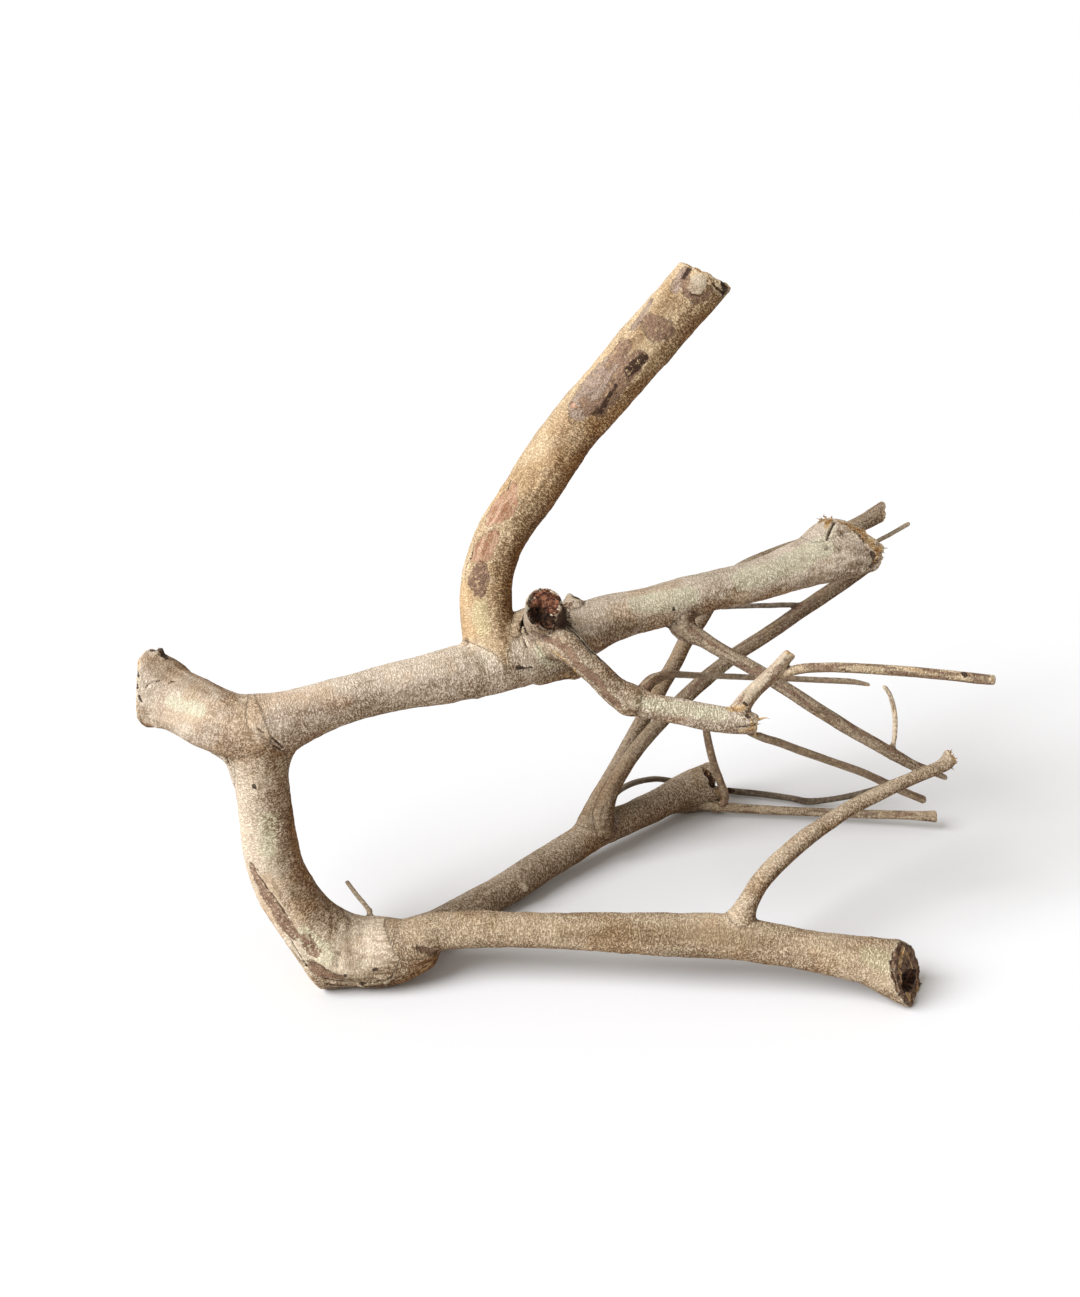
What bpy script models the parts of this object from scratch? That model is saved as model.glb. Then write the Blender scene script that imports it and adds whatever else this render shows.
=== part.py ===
"""A branched piece of talawa wood, lying as it rests on a table.

The wood grew as one piece, so it is one solid. It is laid out on a front
sketch. The eye is EYE_DISTANCE in front of the sketch plane and looks down at
EYE_PITCH. Each limb is a row of stations:

    (across, down, depth, thickness)

across, down and thickness are in sketch units, and depth is in millimetres
behind the sketch plane. place() turns a station into a point and a radius.
"""

import math

import bmesh
import bpy
from mathutils import Matrix, Vector

# ---------------------------------------------------------------- dimensions
EYE_DISTANCE = 0.940  # eye to sketch plane
EYE_PITCH = math.radians(27.0)  # how far the eye looks down
SKETCH_UNIT = 0.000522  # one sketch unit on the sketch plane
SKETCH_CENTRE = (540.0, 648.5)  # sketch point straight ahead of the eye
REST_LEVEL = -0.1682  # height of the resting surface in the eye's frame
ORIGIN = (0.01882, 0.02420)  # middle of the footprint in the eye's frame

BLEND_VOXEL = 0.0013  # grain of the blend where limbs grow out of each other
BLEND_SMOOTH = 5  # rounds of smoothing on the blend
LIMB_FACES = 5600  # faces that the blended limbs keep
LIMB_SIDES = 6  # bevel resolution of a limb: 16 sides
TWIG_SIDES = 2  # bevel resolution of a twig: 8 sides
CUT_REACH = 0.120  # side of the blocks that saw the flats and ends

# -------------------------------------------------------------------- limbs
LIMBS = {
    # short end of the main stem, flared to its sawn face
    "stem_end": [(252, 730, -43, 62), (232, 725, -43, 64), (212, 718, -41, 64), (192, 707.5, -38, 63),
                 (172, 698, -34, 63), (160, 692, -31, 71), (148, 689, -29, 78),
                 (126, 683, -26, 84)],
    # main stem, from the fork down to the elbow that it rests on
    "stem": [(254, 727, -43, 62), (258.5, 750, -37, 58), (261, 775, -30, 54), (264, 800, -23, 53),
             (267, 825, -16.5, 54), (271.5, 850, -10, 55), (276, 868, -5, 55.5), (285, 889, 1, 58),
             (303.5, 919, 9, 64), (328, 942, 15, 72), (353, 950, 17, 71), (380, 951, 17, 68)],
    # webs in the two crotches of the fork
    "left_web": [(200, 736, -38, 14), (219, 745, -40, 22), (235, 756, -39, 24), (243, 778, -31, 22)],
    "right_web": [(320, 722, -36, 16), (299, 735, -38, 20), (286, 748, -37, 20), (277, 772, -30, 20)],
    # swollen heel under the elbow
    "heel": [(318, 960, 13, 54), (345, 957, 16, 60), (372, 957.5, 17, 61), (396, 956, 17, 55), (417, 951, 17, 44)],
    "heel_toe": [(300, 945, 10, 40), (318, 968, 13, 38), (336, 970, 15, 36)],
    # upper limb, from the fork to the splintered end at the right
    "upper_limb": [(250, 727, -43, 62), (275, 722.5, -41, 60), (300, 715, -38, 54), (325, 706, -35, 50),
                   (350, 698.5, -32, 47.5), (375, 691.5, -28, 47), (400, 685.5, -25, 49), (425, 680.5, -21, 51.5),
                   (450, 675.5, -17, 55.5), (478, 668.5, -12, 58), (505, 660, -7, 62), (530, 652, -2, 62),
                   (560, 640, 4, 58), (585, 629, 9, 54), (600, 622.5, 12, 50), (620, 616, 16, 46.5),
                   (640, 611, 20, 44), (660, 606, 24, 43.5), (690, 597, 31, 42), (715, 590, 37, 40),
                   (742, 584, 43, 41), (770, 576, 49, 43), (790, 568.5, 54, 46), (810, 561, 59, 50),
                   (830, 554, 63, 56), (850, 549, 68, 57), (876, 544, 73, 50)],
    "upper_limb_crest": [(808, 556, 57, 36), (828, 540, 61, 41), (845, 541, 66, 41), (862, 546, 69, 36)],
    # tall prong, rising from the upper limb
    "prong": [(497, 662, -10, 56), (490, 640, -10, 54), (486.5, 618, -10.5, 53), (485.5, 600, -11, 52),
              (487.5, 577, -12, 51.5), (494, 554, -13, 51), (503, 533, -14, 52), (514, 515, -15, 52),
              (529.5, 493, -16, 54), (552, 458, -18, 54.5), (581, 418.5, -20, 54), (610.5, 385, -22, 54),
              (641, 350, -24, 57), (670, 316, -26, 56), (696, 287, -28, 57), (722, 258, -30, 58)],
    "prong_web": [(500, 640, -10, 44), (519, 626, -9, 30), (534, 619, -8, 28)],
    # torn ledge under the upper limb
    "ledge": [(540, 665, 1, 40), (566, 664, 4, 31), (574, 669, 5, 22)],
    # lower limb along the front, from the elbow to the hollow end at the right
    "front_limb": [(380, 948, 16, 60), (405, 944, 15, 50), (425, 936, 14, 43), (440, 931.5, 14, 38.5),
                   (480, 929.5, 12, 37), (520, 930, 11, 36), (560, 931, 10, 36.5), (600, 932, 9, 39),
                   (640, 933.5, 8, 43.5), (680, 935, 7, 44.5), (720, 936, 6, 45), (760, 941.5, 5, 42),
                   (800, 948.5, 4, 40), (830, 954, 3.5, 41.5), (850, 957.5, 3, 43.5), (870, 961, 3, 48),
                   (890, 967, 2.5, 56), (912, 973, 2, 65), (938, 980, 1, 68)],
    # lower limb running back from the elbow
    "back_limb": [(395, 943, 26, 38), (440, 925, 49, 35), (480, 903.5, 68, 33.5), (510, 886.5, 82, 33.5),
                  (550, 861, 101, 32.5), (597, 832, 123, 32), (640, 813, 144, 30), (665, 800.5, 155, 31),
                  (685, 790.5, 165, 35), (712, 784, 175, 43)],
    # lobe under its tip, which it rests on
    "back_knuckle": [(655, 806, 155, 20), (676, 801.5, 165, 22.5), (697, 801.5, 175, 23), (718, 804, 174, 17)],
    # thinner limb that climbs from the front limb
    "side_limb": [(738, 925, 5, 34), (745, 908, 6, 24), (752, 895, 7, 20.5), (760, 882, 9, 20), (779, 861, 14, 19.5),
                  (807, 837, 21, 18), (836, 817, 28, 16.5), (856, 805, 33, 15.5), (886, 790, 40, 14.5),
                  (912, 778.5, 46, 13), (935, 769, 51, 13), (946, 763, 54, 15), (952, 754.5, 55.5, 17)],
    # bent limb in front of the upper limb, with its broken stub
    "knee": [(548, 640, -6, 44), (556, 640, -14, 40), (567, 646, -21, 33), (582, 659.5, -24, 28.5),
             (597.5, 673.5, -25, 27.5), (613, 689, -23, 28), (630, 700, -20, 32)],
    "knee_stub": [(547, 642, 0, 44), (545, 622, -14, 41), (543.5, 605, -30, 37.5)],
    "finger": [(628, 698, -20, 30), (650, 706, -19, 26.5), (680, 711.5, -17, 27), (700, 716, -16, 27),
               (720, 719.5, -15, 26.5), (740, 722, -14, 24), (757, 723, -13, 19)],
    "finger_spur": [(738, 714, -14, 22), (744, 703, -13.5, 18), (754, 691, -12, 16.5), (768, 678, -11, 16),
                    (778, 667.5, -10, 14.5), (785, 659, -9, 13), (792, 652, -8.5, 12)],
    # the two forked limbs that rise from the back limb
    "left_fork": [(588, 829, 118, 28), (592, 813, 121, 21), (599, 798, 123, 18), (611, 777, 125, 16.5),
                  (626, 750, 125, 16), (640.5, 724, 124, 15.5), (651.5, 705, 122, 15.5), (663.5, 682.5, 119, 15.5),
                  (676, 660.5, 116, 15.5), (685.5, 641.5, 112, 15.5), (700, 620, 107, 15.5), (710, 603, 103, 15.5),
                  (724, 583, 98, 15.5), (745, 568, 94, 15.5), (770, 557, 94, 15.5), (790, 549.5, 95, 15.5),
                  (820, 539.5, 98, 15.5), (848, 529.5, 101, 16), (865, 521.5, 103, 16.5), (876, 515, 104, 18), (885, 510, 105, 20)],
    "right_fork": [(600, 828, 118, 30), (604.5, 809, 117, 21), (611, 791, 116, 16.5), (622, 771, 115, 15.5),
                   (635, 751.5, 114, 15), (652, 731, 112, 15), (671, 711, 110, 15.5), (692.5, 690.5, 108, 15.5),
                   (714, 672, 106, 15.5), (736, 654.5, 105, 15), (760, 639, 104, 15), (780, 625.5, 103, 15),
                   (800, 611.5, 103, 15), (830, 591.5, 103, 15), (855, 574, 103, 15), (874, 559.5, 103, 15)],
    # thin limb hanging from a knot under the upper limb
    "slant": [(678, 612, 27, 34), (685, 629, 26, 25), (703, 639.5, 24, 16.5), (720, 650, 24, 15),
              (757, 670.5, 25, 14.5), (790, 691.5, 27, 14), (820, 711, 30, 14), (850, 729.5, 34, 13.5),
              (870, 741, 38, 13), (892, 753.5, 44, 12.5), (912, 764.5, 50, 10.5), (930, 771, 56, 8),
              (945, 777.5, 61, 6)],
}

# -------------------------------------------------------------------- twigs
TWIGS = {
    "long_twig": [(774, 676, -10, 10), (800, 669, -8, 10.5), (822, 667.5, -6, 10), (850, 668, -4, 10.5),
                  (900, 671, 0, 11), (950, 675.5, 4, 11), (980, 679, 6, 11), (994, 680, 7, 10)],
    "hook": [(638, 697, -18, 15), (650, 682, -11, 13), (660, 677, -4, 11), (669, 674, 4, 10), (680, 674.5, 14, 7.5),
             (700, 675.5, 28, 7), (730, 676.5, 42, 6.5), (755, 677.5, 50, 6.5), (785, 678.5, 57, 6.5),
             (820, 680, 62, 6.5), (850, 681.5, 65, 6.5), (868, 684.5, 67, 4.5)],
    "shoot": [(891, 756, 44, 5), (894.5, 736, 43, 5.5), (895, 718, 42, 5.5), (892.5, 703, 40, 5.5), (888.5, 692, 39, 5),
              (884.5, 687, 38, 5)],
    "low_twig": [(742, 727, -13, 9), (760, 736.5, -6, 8.5), (780, 743, 3, 8.5), (800, 750.5, 12, 8.5), (830, 761, 26, 8.5),
                 (860, 771.5, 41, 8.5), (880, 780.5, 52, 8.5), (900, 790, 61, 8.5), (924, 800, 71, 8.5)],
    "stray": [(806, 606.5, 103, 7.5), (790, 605, 100, 6), (770, 605.5, 97, 6), (750, 606, 95, 5.5),
              (722, 607.5, 92, 5)],
    "wisp": [(840, 586, 103.5, 6), (860, 554, 110, 5.5), (876, 542, 114, 5), (890, 534.5, 116, 5),
             (908, 524, 118, 5)],
    "ground_twig": [(690, 798, 168, 15), (708, 804, 167, 14), (725, 807, 166, 10), (760, 809.5, 164, 9.5),
                    (800, 811.5, 161, 9), (850, 813.5, 157, 9), (900, 815, 153, 9), (924, 816, 151, 10),
                    (938, 816.5, 150, 13)],
    "arc_twig": [(603, 815, 122, 8), (612, 799, 130, 7), (620, 790, 142, 6.5), (635, 782.5, 160, 6.5),
                 (655, 779, 176, 6.5), (672, 781, 185, 6.5), (690, 784.5, 189, 6.5), (710, 788, 190, 6.5),
                 (727, 790.5, 189, 7), (760, 794, 184, 7), (790, 798, 179, 7), (808, 801.5, 176, 7.5),
                 (830, 799.5, 172, 6.5), (850, 796, 168, 6.5), (870, 791, 165, 6.5), (884, 786, 163, 6)],
    "riser": [(716, 809, 167, 9), (725, 798, 163, 9), (720, 781, 158, 8.5), (713.5, 763, 154, 8.5),
              (708.5, 743, 152, 8.5), (706, 729, 151, 8), (704, 716, 150, 7)],
    "elbow_shoot": [(371, 930, 20, 6.5), (369.5, 913, 19, 5.5), (366, 906, 18, 5.5), (356, 894, 17, 5.5),
                    (346.5, 881, 16, 5)],
    "top_knot": [(572, 620, 7, 26), (574.5, 604, 5, 16), (576, 593.5, 4, 11)],
}

# --------------------------------------------------------------------- cuts
# Sawn and broken faces: a station on the face, and the way the face looks as
# (right, up, towards the eye).
SAWN_FACES = {
    "stem_end_face": ((141, 688, -29, 0), (-1.0, 0.03, 0.08)),
    "prong_face": ((706, 275.5, -29, 0), (0.43, 0.88, 0.16)),
    "front_limb_face": ((910.5, 973, 2, 0), (0.93, 0.18, 0.34)),
    "elbow_side": ((285, 938, 8, 0), (-0.83, -0.55, 0.05)),
}
# Rotted or torn hollows: a station in the mouth, the way it opens, its width
# in sketch units and its depth in metres.
HOLLOWS = {
    "front_limb_hollow": ((911, 974, 1, 0), (0.93, 0.13, 0.34), 42, 0.009),
    "stub_hollow": ((545, 603, -31, 0), (-0.03, 0.62, 0.78), 27, 0.007),
    "back_limb_hollow": ((714, 782, 175, 0), (0.85, 0.45, 0.28), 27, 0.006),
    "upper_limb_hollow": ((877, 543, 73, 0), (0.92, 0.30, -0.24), 34, 0.008),
}


# ------------------------------------------------------------------ helpers
def place(station):
    """The point of a station, and its radius, in metres."""
    across, down, depth, thickness = station
    depth = depth / 1000
    unit = SKETCH_UNIT * (EYE_DISTANCE + depth) / EYE_DISTANCE
    right = (across - SKETCH_CENTRE[0]) * unit
    up = (SKETCH_CENTRE[1] - down) * unit
    point = Vector((
        right - ORIGIN[0],
        up * math.sin(EYE_PITCH) + depth * math.cos(EYE_PITCH) - ORIGIN[1],
        up * math.cos(EYE_PITCH) - depth * math.sin(EYE_PITCH) - REST_LEVEL,
    ))
    return point, thickness / 2 * unit


def direction(look):
    """A (right, up, towards the eye) direction as a world unit vector."""
    right, up, near = look
    return Vector((
        right,
        up * math.sin(EYE_PITCH) - near * math.cos(EYE_PITCH),
        up * math.cos(EYE_PITCH) + near * math.sin(EYE_PITCH),
    )).normalized()


def new_object(name, data, collection):
    obj = bpy.data.objects.new(name, data)
    collection.objects.link(obj)
    return obj


def limb_mesh(name, stations, sides, steps):
    """A tapered round limb through its stations, as a closed mesh object."""
    curve = bpy.data.curves.new(name, "CURVE")
    curve.dimensions = "3D"
    curve.resolution_u = steps
    curve.bevel_depth = 1.0
    curve.bevel_resolution = sides
    curve.use_fill_caps = True
    spline = curve.splines.new("BEZIER")
    spline.radius_interpolation = "CARDINAL"
    spline.bezier_points.add(len(stations) - 1)
    for knot, station in zip(spline.bezier_points, stations):
        knot.co, knot.radius = place(station)
        knot.handle_left_type = knot.handle_right_type = "AUTO"
    obj = new_object(name, curve, guides)
    bpy.context.view_layer.update()
    graph = bpy.context.evaluated_depsgraph_get()
    mesh = bpy.data.meshes.new_from_object(obj.evaluated_get(graph))
    bm = bmesh.new()
    bm.from_mesh(mesh)
    bmesh.ops.remove_doubles(bm, verts=bm.verts, dist=0.00001)
    bmesh.ops.recalc_face_normals(bm, faces=bm.faces)
    bm.to_mesh(mesh)
    bm.free()
    solid = new_object(name + "_solid", mesh, guides)
    solid.matrix_world = obj.matrix_world
    bpy.data.objects.remove(obj)
    return solid


def apply(obj):
    """Replaces an object's mesh with the evaluated one."""
    bpy.context.view_layer.update()
    graph = bpy.context.evaluated_depsgraph_get()
    mesh = bpy.data.meshes.new_from_object(obj.evaluated_get(graph))
    obj.modifiers.clear()
    obj.data = mesh


def boolean(obj, other, operation):
    step = obj.modifiers.new(other.name, "BOOLEAN")
    step.operation = operation
    step.solver = "EXACT"
    step.object = other
    apply(obj)


def as_cutter(obj):
    for owner in list(obj.users_collection):
        owner.objects.unlink(obj)
    cutters.objects.link(obj)
    obj.hide_render = True
    obj.display_type = "WIRE"
    return obj


def block(name, look, point):
    """A cube whose one face lies in the plane through point, outside look."""
    bpy.ops.mesh.primitive_cube_add(size=CUT_REACH)
    cutter = bpy.context.object
    cutter.name = name
    turn = look.to_track_quat("Z", "Y").to_matrix().to_4x4()
    middle = Matrix.Translation(point + look * CUT_REACH / 2)
    cutter.matrix_world = middle @ turn
    return as_cutter(cutter)


def scoop(name, look, point, width, depth):
    """An egg-shaped cutter for a hollow that opens along look."""
    bpy.ops.mesh.primitive_uv_sphere_add(segments=14, ring_count=8, radius=1.0)
    cutter = bpy.context.object
    cutter.name = name
    turn = look.to_track_quat("Z", "Y").to_matrix().to_4x4()
    size = Matrix.Diagonal((width / 2, width / 2, depth, 1.0))
    cutter.data.transform(Matrix.Translation(point) @ turn @ size)
    return as_cutter(cutter)


# -------------------------------------------------------------------- scene
for old in list(bpy.data.objects):
    bpy.data.objects.remove(old)

wood = bpy.data.collections.new("talawa_wood_piece")
cutters = bpy.data.collections.new("cutters")
guides = bpy.data.collections.new("guides")
for collection in (wood, cutters, guides):
    bpy.context.scene.collection.children.link(collection)

# The limbs grow into each other: their union is blended and smoothed.
limbs = [limb_mesh(name, stations, LIMB_SIDES, 8) for name, stations in LIMBS.items()]
gathered = bmesh.new()
for limb in limbs:
    gathered.from_mesh(limb.data)
mesh = bpy.data.meshes.new("talawa_wood")
gathered.to_mesh(mesh)
gathered.free()
for limb in limbs:
    bpy.data.objects.remove(limb)
piece = new_object("talawa_wood", mesh, wood)

blend = piece.modifiers.new("grown_together", "REMESH")
blend.mode = "VOXEL"
blend.voxel_size = BLEND_VOXEL
soften = piece.modifiers.new("bark_round", "SMOOTH")
soften.factor = 0.5
soften.iterations = BLEND_SMOOTH
apply(piece)
thin = piece.modifiers.new("facets", "DECIMATE")
thin.ratio = LIMB_FACES / (2 * len(piece.data.polygons))
apply(piece)

# Thin twigs join it as they are.
for name, stations in TWIGS.items():
    twig = limb_mesh(name, stations, TWIG_SIDES, 2)
    boolean(piece, twig, "UNION")
    bpy.data.objects.remove(twig)

# Sawn faces, hollows, and the feet that it rests on.
for name, (station, look) in SAWN_FACES.items():
    boolean(piece, block(name, direction(look), place(station)[0]), "DIFFERENCE")
for name, (station, look, width, depth) in HOLLOWS.items():
    point, unit = place(station)[0], place(station[:3] + (2,))[1]
    boolean(piece, scoop(name, direction(look), point, width * unit, depth), "DIFFERENCE")
bpy.ops.mesh.primitive_cube_add(size=1.0, location=(0, 0, -0.5))
floor_cut = bpy.context.object
floor_cut.name = "resting_level"
boolean(piece, as_cutter(floor_cut), "DIFFERENCE")

bark = bpy.data.materials.new("bark")
bark.use_nodes = True
shader = bark.node_tree.nodes["Principled BSDF"]
shader.inputs["Base Color"].default_value = (0.50, 0.37, 0.22, 1.0)
shader.inputs["Roughness"].default_value = 0.85
shader.inputs["Metallic"].default_value = 0.0
piece.data.materials.clear()
piece.data.materials.append(bark)
piece.data.shade_smooth()
piece.data.set_sharp_from_angle(angle=math.radians(40))
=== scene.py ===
"""The looks of a branched piece of talawa wood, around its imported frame.

The wood is grown here a second time at full detail: every limb is a row of
stations, the limbs are blended into one distance field, and the field is
turned into a mesh whose bark, knots, cracks, peeled patches and torn ends are
modelled in geometry. Lengths are in millimetres until a mesh is made.
"""

import math

import bpy
import numpy as np
from mathutils import Matrix, Vector


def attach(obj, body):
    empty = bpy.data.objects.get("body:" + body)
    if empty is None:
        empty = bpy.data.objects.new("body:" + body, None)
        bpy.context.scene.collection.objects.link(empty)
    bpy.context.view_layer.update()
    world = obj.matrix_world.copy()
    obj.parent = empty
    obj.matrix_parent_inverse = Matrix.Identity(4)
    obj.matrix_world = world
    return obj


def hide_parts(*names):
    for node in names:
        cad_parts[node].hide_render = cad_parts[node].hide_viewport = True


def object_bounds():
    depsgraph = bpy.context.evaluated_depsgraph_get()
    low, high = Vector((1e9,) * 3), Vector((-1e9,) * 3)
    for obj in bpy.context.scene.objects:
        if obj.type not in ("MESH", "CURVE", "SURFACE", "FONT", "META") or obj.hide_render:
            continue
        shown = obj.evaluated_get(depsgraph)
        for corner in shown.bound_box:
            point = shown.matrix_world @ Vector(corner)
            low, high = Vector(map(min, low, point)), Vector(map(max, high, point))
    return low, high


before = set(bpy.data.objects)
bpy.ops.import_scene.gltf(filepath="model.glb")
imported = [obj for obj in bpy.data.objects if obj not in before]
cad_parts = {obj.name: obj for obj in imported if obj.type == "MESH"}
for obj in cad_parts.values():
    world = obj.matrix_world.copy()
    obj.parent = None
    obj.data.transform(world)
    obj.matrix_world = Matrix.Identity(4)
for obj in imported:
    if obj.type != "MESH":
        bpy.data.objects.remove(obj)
cad_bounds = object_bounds()

# ------------------------------------------------------------ sketch frame
EYE_DISTANCE = 940.0  # eye to sketch plane
EYE_PITCH = math.radians(27.0)  # how far the eye looks down
SKETCH_UNIT = 0.522  # one sketch unit on the sketch plane
SKETCH_CENTRE = (540.0, 648.5)
REST_LEVEL = -168.2
ORIGIN = (18.82, 24.20)
SIN, COS = math.sin(EYE_PITCH), math.cos(EYE_PITCH)
EYE = np.array([-ORIGIN[0], -EYE_DISTANCE * COS - ORIGIN[1], EYE_DISTANCE * SIN - REST_LEVEL])


def place(stations):
    """Points and radii of (across, down, depth, thickness) stations."""
    s = np.atleast_2d(np.asarray(stations, float))
    depth = s[:, 2]
    unit = SKETCH_UNIT * (EYE_DISTANCE + depth) / EYE_DISTANCE
    right = (s[:, 0] - SKETCH_CENTRE[0]) * unit
    up = (SKETCH_CENTRE[1] - s[:, 1]) * unit
    points = np.stack([
        right - ORIGIN[0],
        up * SIN + depth * COS - ORIGIN[1],
        up * COS - depth * SIN - REST_LEVEL,
    ], 1)
    return points, s[:, 3] / 2 * unit


def direction(look):
    """A (right, up, towards the eye) direction as a unit vector."""
    right, up, near = look
    v = np.array([right, up * SIN - near * COS, up * COS + near * SIN])
    return v / np.linalg.norm(v)


def ray(across, down):
    """The unit direction from the eye through a sketch point."""
    p, _ = place([(across, down, 0.0, 1.0)])
    d = p[0] - EYE
    return d / np.linalg.norm(d)

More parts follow.
